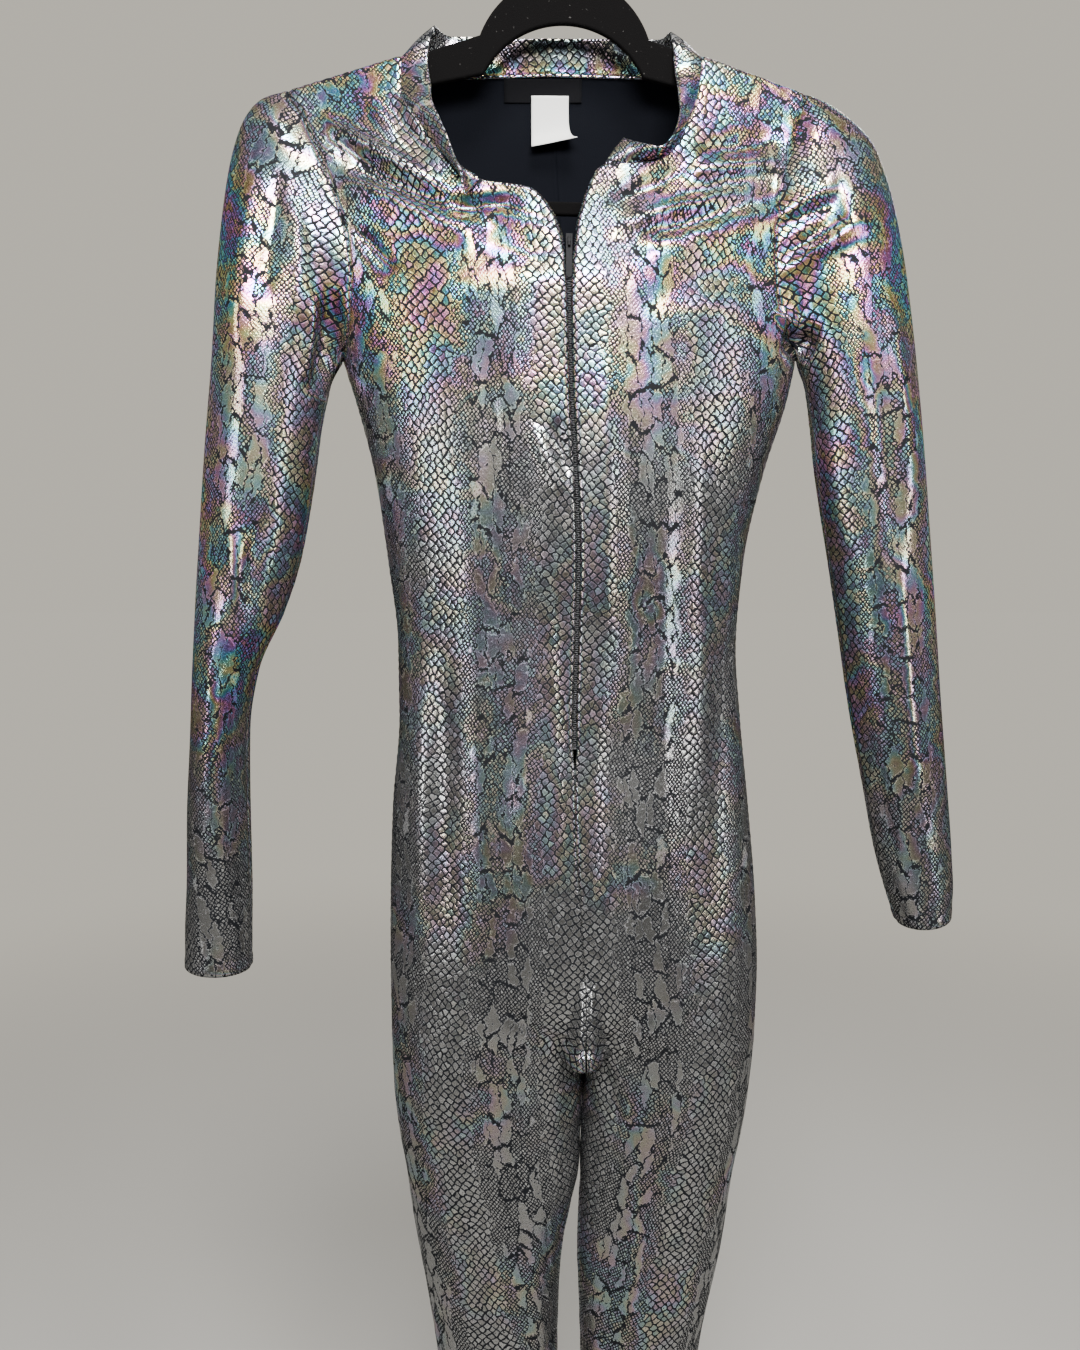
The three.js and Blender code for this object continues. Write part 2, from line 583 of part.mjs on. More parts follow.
// Each panel is cut in one from shoulder to ankle. Its solid is built in four stretches, split at
// the armpit, the crotch and the knee, so that the collision shape of each stays close to the cloth.
const armpitRow = YOKES.frontRight.length - 1;
const crotchRow = armpitRow + TORSO_ROWS;
const kneeRow = crotchRow + 8;
const STRETCHES = [
  { part: "yoke", from: 0, to: armpitRow },
  { part: "trunk", from: armpitRow, to: crotchRow },
  { part: "thigh", from: crotchRow, to: kneeRow },
  { part: "calf", from: kneeRow, to: crotchRow + LEG_ROWS },
];
for (const { name, grid, flip } of Object.values(panels)) {
  for (const { part, from, to } of STRETCHES) {
    const edges = { top: true, bottom: part !== "calf", first: true, last: true, lastFrom: crotchRow - from };
    addPiece(`${name}_${part}`, "foil", clothWall(grid.slice(from, to + 1), flip, clothNormal, edges));
  }
}
for (const { name, grid, flip } of Object.values(sleeves)) {
  addPiece(name, "foil", clothWall(grid, flip, clothNormal, { top: true, first: true, last: true }));
}

// The collar: columns follow the neck seam from the right front's end round the back to the left
// front's end, rows rise from the seam to the rim
const collarEnd = COLLAR_RIM.frontRight.length - 1;
function collarHalf(panelKey) {
  return COLLAR_RIM[panelKey].map((rim, r) => {
    const [next, seam] = panels[panelKey].grid[r].slice(-2);
    const away = seam.clone().sub(next).normalize();
    return { seam, away, rise: new THREE.Vector3(rim.x, rim.y, rim.z) };
  });
}
const collarStations = [
  ...collarHalf("frontRight").reverse(),
  ...collarHalf("backRight").slice(1),
  ...collarHalf("backLeft").slice(0, collarEnd).reverse(),
  ...collarHalf("frontLeft").slice(1),
];
const collarGrid = Array.from({ length: COLLAR_RISE + 1 }, (_, r) => {
  return collarStations.map(({ seam, away, rise }) => {
    if (r === 0) return seam.clone().addScaledVector(away, SEAM_GAP);
    return seam.clone().addScaledVector(rise, r / COLLAR_RISE);
  });
});
const collarNormal = sharedNormals([{ grid: collarGrid, flip: true }]);
const collarInside = collarGrid.map((row, r) => row.map((point, c) => {
  const normal = r === 0 ? clothNormal(collarStations[c].seam) : collarNormal(point);
  return point.clone().addScaledVector(normal, -COLLAR_CLOTH);
}));
addPiece("collar", "foil", wallBetween(collarGrid, collarInside, true));

// The zip: a tape behind each front edge, and the closed chain between them below the slider
const TAPE = { setIn: 1.6, wall: 0.8, from: 1.9, to: 9.5 };
const CHAIN = { half: 2.4, setIn: 1.6, wall: 1.6 };
const SLIDER = { wide: 4.4, tall: 10, behind: 2.6, proud: 1, tilt: THREE.MathUtils.degToRad(6) };
const zipRows = [];
const firstZipRow = collarEnd;
const heights = [...YOKES.frontRight.map((row) => row.neckZ), ...lowerHeights()];
for (let r = firstZipRow; r < heights.length && heights[r] > ZIP_END_Z; r++) zipRows.push(r);

function tapeWall(key) {
  const { grid } = panels[key];
  const layer = (depth) => zipRows.map((r) => {
    const edge = grid[r].at(-1);
    const next = grid[r].at(-2);
    const span = edge.distanceTo(next);
    return [TAPE.to, TAPE.from].map((out) => {
      const point = edge.clone().lerp(next, out / span);
      const normal = clothNormal(edge).lerp(clothNormal(next), out / span).normalize();
      return point.addScaledVector(normal, -depth);
    });
  });
  return wallBetween(layer(TAPE.setIn), layer(TAPE.setIn + TAPE.wall), panels[key].flip);
}
addPiece("zip_tape_right", "tape", tapeWall("frontRight"));
addPiece("zip_tape_left", "tape", tapeWall("frontLeft"));

function chainWall() {
  const rows = zipRows.filter((r) => heights[r] < SLIDER_Z - SLIDER.tall);
  const middle = rows.map((r) => {
    return panels.frontRight.grid[r].at(-1).clone().lerp(panels.frontLeft.grid[r].at(-1), 0.5);
  });
  const top = panels.frontRight.grid[rows[0] - 1].at(-1).clone();
  top.lerp(panels.frontLeft.grid[rows[0] - 1].at(-1), 0.5);
  const drop = top.z - (SLIDER_Z - SLIDER.tall / 2 - SEAM_GAP);
  middle.unshift(top.lerp(middle[0], drop / (top.z - middle[0].z)));
  const layer = (depth) => middle.map((point) => [-CHAIN.half, CHAIN.half].map((across) => {
    return new THREE.Vector3(point.x + across, point.y + depth, point.z);
  }));
  return wallBetween(layer(CHAIN.setIn), layer(CHAIN.setIn + CHAIN.wall), true);
}
addPiece("zip_chain", "tape", chainWall());

// The slider and its pull tab, drawn about the tab's hinge line: X across, Y up the zip, Z out
// from the cloth. The slider's bridge is a loop over the tab's upper bar.
const PULL = { wide: 4.2, long: 24, thick: 0.9, slotWide: 2.2, slotLong: 4.6, hingeOut: 1.8 };
const BRIDGE = { wide: 1.4, half: 3.2, gapHalf: 2.2, gapOut: 2.6, out: 3.5 };

// Sets a geometry drawn about the hinge line in its place on the front
function onZip(geometry) {
  const depth = yokeDepth("right", "front", -1, SLIDER_Z);
  geometry.rotateX(Math.PI / 2 - SLIDER.tilt);
  geometry.translate(-0.1, -depth, SLIDER_Z);
  return geometry;
}

function rectangle(x0, y0, x1, y1) {
  const shape = new THREE.Shape();
  shape.moveTo(x0, y0).lineTo(x1, y0).lineTo(x1, y1).lineTo(x0, y1).closePath();
  return shape;
}

function slab(shape, from, to) {
  const geometry = new THREE.ExtrudeGeometry(shape, { depth: to - from, bevelEnabled: false });
  return geometry.translate(0, 0, from);
}

const wasm = await Module();
wasm.setup();
function asSolid(geometry) {
  const bare = geometry.clone();
  bare.deleteAttribute("normal");
  bare.deleteAttribute("uv");
  const merged = mergeVertices(bare, 1e-4);
  const vertProperties = new Float32Array(merged.attributes.position.array);
  const triVerts = new Uint32Array(merged.index.array);
  return new wasm.Manifold(new wasm.Mesh({ numProp: 3, vertProperties, triVerts }));
}
function asGeometry(solid) {
  const mesh = solid.getMesh();
  const geometry = new THREE.BufferGeometry();
  geometry.setAttribute("position", new THREE.BufferAttribute(mesh.vertProperties, 3));
  geometry.setIndex(new THREE.BufferAttribute(mesh.triVerts, 1));
  return geometry;
}

function sliderGeometry() {
  const { wide, tall, behind, proud } = SLIDER;
  const plate = new THREE.Shape();
  plate.moveTo(-wide / 2, tall / 2).lineTo(wide / 2, tall / 2).lineTo(wide / 2, 0);
  plate.lineTo(wide / 3, -tall / 2).lineTo(-wide / 3, -tall / 2).lineTo(-wide / 2, 0).closePath();
  const loop = rectangle(-BRIDGE.half, 0, BRIDGE.half, BRIDGE.out);
  loop.holes.push(rectangle(-BRIDGE.gapHalf, proud, BRIDGE.gapHalf, BRIDGE.gapOut));
  const bridge = slab(loop, -BRIDGE.wide / 2, BRIDGE.wide / 2);
  bridge.rotateY(Math.PI / 2).rotateX(Math.PI / 2);
  return asGeometry(asSolid(slab(plate, -behind, proud)).add(asSolid(bridge)));
}
addPiece("zip_slider", "flock", onZip(sliderGeometry()));

function pullGeometry() {
  const half = PULL.wide / 2;
  const bar = PULL.thick / 2;
  const foot = bar - PULL.long + half;
  const tab = new THREE.Shape();
  tab.absarc(0, foot, half, Math.PI, 2 * Math.PI);
  tab.lineTo(half, bar).lineTo(-half, bar).closePath();
  tab.holes.push(rectangle(-PULL.slotWide / 2, -PULL.slotLong, PULL.slotWide / 2, -bar));
  const from = PULL.hingeOut - bar;
  return new THREE.ExtrudeGeometry(tab, { depth: PULL.thick, bevelEnabled: false, curveSegments: 4 })
    .translate(0, 0, from);
}
addPiece("zip_pull", "flock", onZip(pullGeometry()));

// The neck label and the care tag under it hang from the back neck seam, against the back's inside
const LABEL = { from: -44, to: 10, top: -118, bottom: -132, off: 0.8, wall: 0.8, curl: 0 };
const TAG = { from: -25, to: 1, top: -128, bottom: -160, off: 2, wall: 0.8, curl: 7 };
const backMeshes = ["back_right_yoke", "back_left_yoke"].map((name) => garment.getObjectByName(name));

function insideOfBack(x, z) {
  const ray = new THREE.Raycaster(new THREE.Vector3(x, 0, z), new THREE.Vector3(0, 1, 0));
  return ray.intersectObjects(backMeshes)[0].point.y;
}

function hangingWall({ from, to, top, bottom, off, wall, curl }) {
  const layer = (depth) => [0, 0.25, 0.5, 0.75, 1].map((down) => {
    const z = THREE.MathUtils.lerp(top, bottom, down);
    return [0, 0.25, 0.5, 0.75, 1].map((along) => {
      const x = THREE.MathUtils.lerp(from, to, along);
      return new THREE.Vector3(x, insideOfBack(x, z) - depth - curl * down ** 3, z);
    });
  });
  return wallBetween(layer(off), layer(off + wall), false);
}
addPiece("neck_label", "tape", hangingWall(LABEL));
addPiece("care_tag", "paper", hangingWall(TAG));

// The hanger: one flat moulding, an arch over two sloping arms closed below by a bar
function hangerGeometry() {
  const { thick, archBase, archRadius, archTopZ, archInnerZ, halfSpan, barHalf } = HANGER;
  const archZ = archTopZ - archRadius;
  const baseAngle = Math.acos(archBase / archRadius);
  const underArm = (out) => {
    const share = (out - archBase) / (halfSpan - archBase);
    return armTop(out) - THREE.MathUtils.lerp(HANGER.armHeight, HANGER.tipHeight, share);
  };
  const barBottom = HANGER.barZ - HANGER.barHeight / 2;
  const barTop = HANGER.barZ + HANGER.barHeight / 2;
  const plate = new THREE.Shape();
  plate.absarc(0, archZ, archRadius, baseAngle, Math.PI - baseAngle, false);
  plate.lineTo(12 - halfSpan, armTop(halfSpan - 12));
  plate.quadraticCurveTo(-halfSpan, armTop(halfSpan), -halfSpan, armTop(halfSpan) - 13);
  plate.quadraticCurveTo(6 - halfSpan, barBottom, -barHalf, barBottom);
  plate.lineTo(barHalf, barBottom);
  plate.quadraticCurveTo(halfSpan - 6, barBottom, halfSpan, armTop(halfSpan) - 13);
  plate.quadraticCurveTo(halfSpan, armTop(halfSpan), halfSpan - 12, armTop(halfSpan - 12));
  plate.closePath();
  const innerHalf = archBase - 3;
  const innerZ = archInnerZ - archRadius;
  const innerAngle = Math.acos(innerHalf / archRadius);
  const hole = new THREE.Path();
  hole.absarc(0, innerZ, archRadius, Math.PI - innerAngle, innerAngle, true);
  hole.lineTo(halfSpan - 30, underArm(halfSpan - 30));
  hole.quadraticCurveTo(halfSpan - 20, underArm(halfSpan - 20), halfSpan - 19, underArm(halfSpan) - 8);
  hole.quadraticCurveTo(halfSpan - 22, barTop, barHalf - 4, barTop);
  hole.lineTo(4 - barHalf, barTop);
  hole.quadraticCurveTo(22 - halfSpan, barTop, 19 - halfSpan, underArm(halfSpan) - 8);
  hole.quadraticCurveTo(20 - halfSpan, underArm(halfSpan - 20), 30 - halfSpan, underArm(halfSpan - 30));
  hole.closePath();
  plate.holes.push(hole);
  const geometry = new THREE.ExtrudeGeometry(plate, { depth: thick, bevelEnabled: false, curveSegments: 8 });
  geometry.translate(0, 0, -thick / 2);
  return geometry.rotateX(Math.PI / 2).rotateY(HANGER.tilt);
}
addPiece("hanger", "flock", hangerGeometry());

// The hook: one wire, up from the arch, out to the side and over the rod
function hookGeometry() {
  const radius = HOOK.inner + HOOK.wire / 2;
  const top = HOOK.wire / 2;
  const points = [
    new THREE.Vector3(0, 0, HANGER.archTopZ + SEAM_GAP),
    new THREE.Vector3(0, 0, HANGER.archTopZ + 8),
    new THREE.Vector3(5, 0, top - 2 * radius + 2),
  ];
  for (let angle = -60; angle <= 195; angle += 17) {
    const turn = THREE.MathUtils.degToRad(angle);
    points.push(new THREE.Vector3(radius * Math.cos(turn), 0, top - radius + radius * Math.sin(turn)));
  }
  const section = new THREE.Shape();
  section.absarc(0, 0, HOOK.wire / 2, 0, 2 * Math.PI);
  const path = new THREE.CatmullRomCurve3(points, false, "centripetal");
  const steps = { extrudePath: path, steps: 34, curveSegments: 4, bevelEnabled: false };
  return new THREE.ExtrudeGeometry(section, steps).rotateY(HANGER.tilt);
}
addPiece("hook", "steel", hookGeometry());

export default garment;
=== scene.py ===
# A long-sleeved unitard of foil-printed stretch cloth, zipped up the front and hanging from a
# slim flocked hanger. Sizes are in millimetres until a mesh is made. Left and right are the
# wearer's, so the wearer's right side has the negative X, and the front faces -Y.
import math
import bpy
import numpy as np
from mathutils import Matrix, Vector


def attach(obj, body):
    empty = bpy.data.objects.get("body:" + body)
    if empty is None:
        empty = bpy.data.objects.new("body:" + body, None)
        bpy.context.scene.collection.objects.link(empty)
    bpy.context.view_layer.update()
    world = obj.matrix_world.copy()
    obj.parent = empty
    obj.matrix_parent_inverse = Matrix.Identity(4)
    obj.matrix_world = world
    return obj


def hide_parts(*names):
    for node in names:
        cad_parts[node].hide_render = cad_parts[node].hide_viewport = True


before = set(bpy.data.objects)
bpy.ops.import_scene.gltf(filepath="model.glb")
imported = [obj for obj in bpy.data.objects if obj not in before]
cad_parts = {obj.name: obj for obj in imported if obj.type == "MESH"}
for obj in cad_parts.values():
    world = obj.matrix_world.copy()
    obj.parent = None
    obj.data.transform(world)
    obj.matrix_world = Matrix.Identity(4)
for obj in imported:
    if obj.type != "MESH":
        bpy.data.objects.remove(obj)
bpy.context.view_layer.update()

# The camera stands at the height of the waist, close in, and looks down a little. Its focal
# length is given in pixels of the picture, like the picture's height.
FOCAL_PIXELS, PICTURE_TALL, LOOKS_DOWN = 1150, 1350, math.radians(8.5)


def placed(name, data):
    """Stands a mesh, a curve, a lamp or the camera in the scene."""
    made = bpy.data.objects.new(name, data)
    bpy.context.scene.collection.objects.link(made)
    return made


lens = bpy.data.cameras.new("camera")
lens.sensor_width = 36
lens.lens = lens.sensor_width * FOCAL_PIXELS / PICTURE_TALL
lens.clip_start = 0.05
lens.clip_end = 60
camera = placed("camera", lens)
camera.location = (-0.019, -0.830, -0.409)
camera.rotation_euler = (math.pi / 2 - LOOKS_DOWN, 0, 0)
bpy.context.scene.camera = camera

# The body of the unitard: two fronts and two backs, each cut in one from shoulder to ankle.
# They hang from the shoulder ridge that lies on the hanger's arms, closed by the zip and the
# seams at the centre, the sides and inside the legs. The print is on the outside only.
CLOTH = 0.9
ARMPIT_Z, HIPS_Z, CROTCH_Z, HEM_Z = -312, -700, -812, -1520
SLIDER_Z, ZIP_END_Z = -241, -580
CHEST_DEPTH = {"front": 55, "back": 49}
FOLDS_FROM = 12
ARCH_BASE, ARCH_BASE_Z, HALF_SPAN = 57, -100, 184
ARM_SLOPE, TILT = math.radians(17.5), math.radians(1.5)
RIDGE_OVER_ARM = 2.2 + 1.2
NECK_RIGHT, NECK_LEFT, NECK_MIDDLE, CROWN_Z = -112, 89, -11, -92


def table(names, text):
    """A short block of numbers, a row for each line, as its named columns."""
    rows = [[float(word) for word in line.split()] for line in text.strip().splitlines()]
    return dict(zip(names.split(), np.array(rows).T))


def column(at, value, where):
    """Reads one column of a table between its rows on a smooth curve that never overshoots."""
    at, value, where = (np.asarray(v, float) for v in (at, value, where))
    if at[0] > at[-1]:
        at, value = at[::-1], value[::-1]
    flat = np.clip(where.ravel(), at[0], at[-1])
    tall = (-1,) + (1,) * (value.ndim - 1)
    steps = np.diff(value, axis=0) / np.diff(at).reshape(tall)
    product = steps[:-1] * steps[1:]
    total = np.where(product > 0, steps[:-1] + steps[1:], 1)
    slopes = np.concatenate([steps[:1], np.where(product > 0, 2 * product / total, 0), steps[-1:]])
    i = np.clip(np.searchsorted(at, flat) - 1, 0, len(at) - 2)
    span = (at[i + 1] - at[i]).reshape(tall)
    t = (flat - at[i]).reshape(tall) / span
    rise = t * t * (3 - 2 * t)
    bend = span * t * (1 - t) * ((1 - t) * slopes[i] - t * slopes[i + 1])
    read = value[i] + (value[i + 1] - value[i]) * rise + bend
    return read.reshape(where.shape + value.shape[1:])


BODY = table("z right left centre front back", """
    -110 -420 420 -11 38.9 34.6
    -150 -400 400 -8 38.9 34.6
    -180 -300 300 -6 38.9 34.6
    -223 -215 215 -3 38.9 34.6
    -263 -178 178 -1 38.9 34.6
    -290 -164 166 0 38.9 34.6
    -312 -157 160 1 38.9 34.6
    -340 -148 154 2 39.5 35
    -390 -136 139 5 40 35
    -450 -128 127 7 38 32
    -510 -122 123 6 35 31
    -560 -122 127 5 35 34
    -630 -128 135 6 38 40
    -700 -131 142 10 41 46
    -760 -132 145 13 44 50
    -812 -132 144 14 50 57""")
TURN = table("z turn", """
    -670 90
    -725 96
    -762 108
    -786 126
    -801 151
    -812 180""")
LEGS = table("z right rightIn leftIn left front back", """
    -812 -132 13.2 14.8 144 50 57
    -850 -131 12.2 15 141 49 55
    -882 -128 11.2 14 137 47 52
    -923 -122 10 12.8 130 44 48
    -949 -119 5 11 127 42 46
    -983 -114 -1 10 123 40 44
    -1020 -108 -4 11 116 38 42
    -1075 -101 -5 13 107 34 37
    -1150 -96 -4 14 101 32 34
    -1220 -97 -3 13 101 32 37
    -1300 -93 -8 17 97 30 36
    -1420 -84 -14 22 88 27 30
    -1520 -79 -18 26 83 26 28""")
SHOULDER = table("drop front back", """
    0 0 0
    1.5 0.084 0.094
    6 0.12 0.15
    14 0.17 0.32
    32 0.27 0.52
    60 0.45 0.64
    100 0.68 0.8
    140 0.87 0.91
    178 1 1
    400 1 1""")
SLIT = table("z half", """
    -312 1
    -580 1
    -594 0.15
    -772 0.15
    -812 0.8""")
# Each yoke's lines from the armhole to the neck or centre. A height above DROP_ABOVE is the drop
# below the shoulder ridge.
DROP_ABOVE = -20
YOKES = {
    ("front", "right"): table("armX armZ neckX neckZ", """
    -189 0 -112 0
    -188.8 1.5 -112 1.5
    -188 6 -112 7
    -181 -147 -112 -136
    -166 -180 -101 -156
    -154 -210 -81 -182
    -147 -240 -59 -198
    -146 -266 -24 -205
    -149 -285 -3.1 -241
    -153 -300 -1.1 -275
    -157 -312 0 -312"""),
    ("front", "left"): table("armX armZ neckX neckZ", """
    160 0 89 0
    159.9 1.5 89 1.5
    159.5 6 89 7
    156 -149 86 -138
    148 -177 77 -162
    141 -207 54 -186
    139 -237 23 -189
    140 -264 10 -210
    146 -285 2.9 -241
    153 -300 1.1 -275
    160 -312 2 -312"""),
    ("back", "right"): table("armX armZ neckX neckZ", """
    -189 0 -112 0
    -188.8 1.5 -111.6 1.5
    -188 6 -108 -116
    -185 -148 -96 -119
    -178 -178 -74 -118.5
    -170 -208 -45 -117
    -164 -237 -11.2 -115.5
    -160 -262 -7.7 -170
    -158 -282 -4.2 -220
    -157 -298 -1.2 -268
    -157 -312 0.85 -312"""),
    ("back", "left"): table("armX armZ neckX neckZ", """
    160 0 89 0
    159.9 1.5 88.6 1.5
    159.5 6 85 -116
    158 -150 73 -119
    155 -178 51 -118.5
    152 -207 22 -117
    151 -236 -10.9 -115.5
    152 -262 -7.4 -170
    154 -282 -3.9 -220
    157 -298 -0.9 -268
    160 -312 1.15 -312"""),
}
# Folds, from one end to the other in the front view: how far the cloth stands in (positive) or
# out (negative), and half the fold's width
FOLDS = {
    "front": table("x0 z0 x1 z1 deep wide", """
    -172 -160 -92 -202 -4 8
    -160 -178 -60 -222 4 9
    -150 -206 -52 -240 -4 10
    -76 -226 -8 -226 4 8
    150 -186 60 -214 4 9
    146 -214 30 -256 -4 10
    140 -244 40 -282 3 10
    -30 -330 -26 -620 3 12
    38 -320 36 -700 3 12
    66 -350 62 -760 -3 13
    -70 -360 -62 -700 -3 14
    96 -420 100 -820 3 13
    -50 -760 -40 -1000 3 12
    66 -800 62 -1040 3 12"""),
    "back": table("x0 z0 x1 z1 deep wide", """
    -165 -180 -60 -230 4 10
    140 -186 40 -240 4 10
    -110 -470 -20 -500 4 11
    112 -456 24 -490 4 11
    -96 -522 10 -532 3 11
    -60 -330 -52 -460 3 13
    64 -330 58 -450 3 13
    -70 -820 -40 -860 4 12
    84 -820 54 -862 4 12"""),
}

# Sharper creases and soft troughs, in the same way, with how far their middle bows sideways
CREASE_GAIN = 1.6
CREASES = {
    "front": table("x0 z0 x1 z1 bow deep wide", """
    -166 -153 -73 -211 0 -3.2 4.5
    -169 -164 -66 -230 2 3.6 7
    -170 -171 -136 -188 0 -2 4
    -153 -193 -54 -236 0 -3 7
    -144 -227 -115 -257 0 2.6 5
    -111 -134 -94 -167 3 -1.4 3
    -135 -145 -112 -162 0 -1.5 4
    -122 -149 -89 -182 0 2 6
    -78 -217 -32 -215 0 3.6 6
    -59 -217 -5 -237 0 -2.6 4
    -65 -235 -11 -252 0 1.6 6
    85 -178 149 -165 0 3 7
    75 -193 142 -182 0 -2 5
    23 -234 138 -203 -3 -3 6
    47 -237 149 -200 -2 3.8 7
    23 -217 85 -187 0 2.4 6
    -210 -182 -226 -315 0 -2 8
    -192 -194 -203 -276 0 2 6
    -181 -210 -177 -295 0 -1.6 6
    -158 -266 -169 -338 0 6 8
    -170 -270 -176 -328 0 -2.4 4
    140 -249 184 -217 0 3 5
    141 -258 200 -221 0 -3 5
    137 -228 184 -207 0 2.6 5
    137 -222 179 -200 0 -2 4
    137 -282 162 -290 0 -2.4 4
    145 -299 169 -305 0 5 8
    214 -270 241 -420 0 -2 7
    199 -295 227 -447 0 2 7
    174 -341 193 -447 0 -1.5 7
    -26 -356 -1 -406 0 -2.6 4
    -11 -354 4 -398 0 2.2 5
    -54 -295 -45 -503 0 1.6 9
    -33 -420 -28 -690 0 -1.6 8
    -14 -447 -6 -735 0 1.6 7
    24 -295 27 -503 0 -1.5 8
    48 -354 58 -690 4 1.8 10
    85 -354 97 -616 0 -1.8 10
    30 -545 27 -765 0 1.6 8
    -88 -503 -88 -735 0 1.6 10
    -105 -545 -103 -765 0 -1.4 8
    108 -503 112 -735 0 1.6 10
    -48 -765 -4 -801 0 2 7
    62 -762 34 -799 0 2 7
    -9 -796 35 -796 -4 2.2 1.6
    25 -815 43 -871 0 2.2 6
    -70 -765 -60 -1030 0 1.6 10
    -34 -843 -19 -1038 0 -1.6 9
    83 -765 72 -1030 0 1.6 10
    55 -859 51 -1038 0 -1.6 9
    -229 -420 -220 -503 0 -2 8
    -204 -407 -222 -503 4 2.4 7
    -189 -447 -212 -517 0 -1.6 5
    -244 -503 -248 -690 0 -1.4 7
    -232 -545 -236 -712 0 1.4 6
    191 -475 218 -616 0 1.6 7
    227 -447 250 -631 0 -1.6 7
    220 -587 238 -675 0 1.6 6"""),
    "back": table("x0 z0 x1 z1 bow deep wide", """
    -160 -160 -84 -206 -3 3 7
    -168 -148 -80 -180 -3 -2.4 5
    -150 -200 -70 -250 -4 -2.4 6
    134 -160 60 -200 3 3 7
    142 -150 58 -178 3 -2.4 5
    130 -196 44 -246 4 -2.2 6
    -140 -260 -60 -330 -5 2.4 8
    136 -262 56 -336 5 2.4 8
    -118 -436 -40 -470 -6 -2.6 7
    -112 -500 -24 -510 -4 2.6 7
    112 -430 44 -462 6 -2.6 7
    108 -494 30 -512 4 2.4 7
    -90 -548 20 -560 3 1.8 8
    -30 -330 -26 -470 0 1.8 9
    40 -340 44 -480 0 -1.6 9
    -16 -560 -4 -740 5 -1.8 9
    36 -580 30 -740 -4 1.6 9
    -84 -600 -90 -800 0 1.6 10
    96 -600 104 -800 0 1.6 10
    -96 -850 -30 -886 -4 2.6 7
    116 -850 46 -890 4 2.6 7
    -70 -900 -62 -1120 3 -1.8 10
    78 -900 70 -1120 -3 -1.8 10
    -40 -1180 -80 -1220 0 2 8
    40 -1180 84 -1220 0 2 8
    -62 -1250 -56 -1460 2 1.6 9
    60 -1250 62 -1460 -2 1.6 9
    -158 -270 -176 -350 0 4 9
    146 -270 172 -352 0 4 9
    -212 -200 -226 -330 0 -2 8
    196 -200 226 -340 0 -2 8
    -196 -250 -206 -400 0 1.8 7
    188 -260 206 -410 0 1.8 7
    -196 -450 -262 -486 -4 3 7
    -214 -500 -264 -516 -2 -2 5
    196 -470 262 -500 4 2.4 7
    216 -520 268 -540 2 -1.8 5
    -250 -560 -252 -700 0 1.4 7
    250 -560 258 -680 0 1.4 7"""),
}


def arm_top(out):
    return ARCH_BASE_Z - (out - ARCH_BASE) * math.tan(ARM_SLOPE)


def tilted(x, z):
    return x * math.cos(TILT) + z * math.sin(TILT), z * math.cos(TILT) - x * math.sin(TILT)


def arm_line(x, sign):
    """Height of the shoulder ridge where it lies over one of the hanger's arms."""
    base_x, base_z = tilted(sign * ARCH_BASE, ARCH_BASE_Z)
    end_x, end_z = tilted(sign * HALF_SPAN, arm_top(HALF_SPAN))
    return base_z + (end_z - base_z) * (x - base_x) / (end_x - base_x) + RIDGE_OVER_ARM


def ridge(x):
    """Height of the shoulder ridge, and over the neck the line it would keep up to a crown."""
    on_right = x < NECK_MIDDLE
    point = np.where(on_right, NECK_RIGHT, NECK_LEFT)
    share = np.clip((x - point) / (NECK_MIDDLE - point), 0, 1)
    at_point = np.where(on_right, arm_line(NECK_RIGHT, -1), arm_line(NECK_LEFT, 1))
    over_neck = at_point + (CROWN_Z - at_point) * np.sin(share * math.pi / 2)
    return np.where(share > 0, over_neck, np.where(on_right, arm_line(x, -1), arm_line(x, 1)))


def hump(distance, wide):
    """1 in the middle of a fold, a seam or a roll, and less with the distance from it."""
    return np.exp(-((distance / wide) ** 2))


def beside_line(x, z, x0, z0, x1, z1):
    """How far points lie along a line, as a share of it, and how far to one side of it."""
    along_x, along_z = x1 - x0, z1 - z0
    length = math.hypot(along_x, along_z)
    share = ((x - x0) * along_x + (z - z0) * along_z) / length**2
    return share, ((x - x0) * along_z - (z - z0) * along_x) / length


def fold_depth(folds, x, z):
    """How far a table of folds takes the cloth in at points of the front view."""
    depth = np.zeros(np.shape(x))
    for *line, deep, wide in zip(*folds.values()):
        share, aside = beside_line(x, z, *line)
        depth += deep * np.maximum(0, 1 - (2 * share - 1) ** 2) * hump(aside, wide)
    return depth


def oval_angle(side, x, z):
    centre = column(BODY["z"], BODY["centre"], z)
    reach = (x - centre) / (column(BODY["z"], BODY[side], z) - centre)
    return np.arccos(np.clip(reach, -1, 1))


def yoke_depth(side, face, x, z):
    """How far the yoke's outer face stands off the hanger's plane."""
    drop = np.maximum(0, ridge(x) - z)
    out = column(SHOULDER["drop"], SHOULDER[face], drop) * CHEST_DEPTH[face]
    fold = fold_depth(FOLDS[face], x, z) * np.minimum(1, out / FOLDS_FROM)
    return (out - fold) * np.sin(oval_angle(side, x, z))


EVEN_SHARE = 0.45


def across_share(cells):
    """Shares from one seam to the other, closer together beside both."""
    even = np.linspace(0, 1, cells + 1)
    return EVEN_SHARE * even + (1 - EVEN_SHARE) * (0.5 - 0.5 * np.cos(math.pi * even))


# How finely the panels are cut into a grid: across, each row of a yoke's table, and down. The
# print is measured across a yoke over WALK_POINTS points.
ACROSS, YOKE_CUTS, TRUNK_ROWS, LEG_ROWS, WALK_POINTS = 52, 8, 161, 119, 25
SIDES, FACES = {"right": -1, "left": 1}, {"front": -1, "back": 1}
SEAM_HALF, SEWN_WITHIN, BACK_SEAM_END = 0.15, 0.5, CROTCH_Z + 40


def from_ridge(x, z):
    """Heights of a yoke's line, where those near the ridge are given as drops below it."""
    return np.where(z > DROP_ABOVE, ridge(x) - z, z)


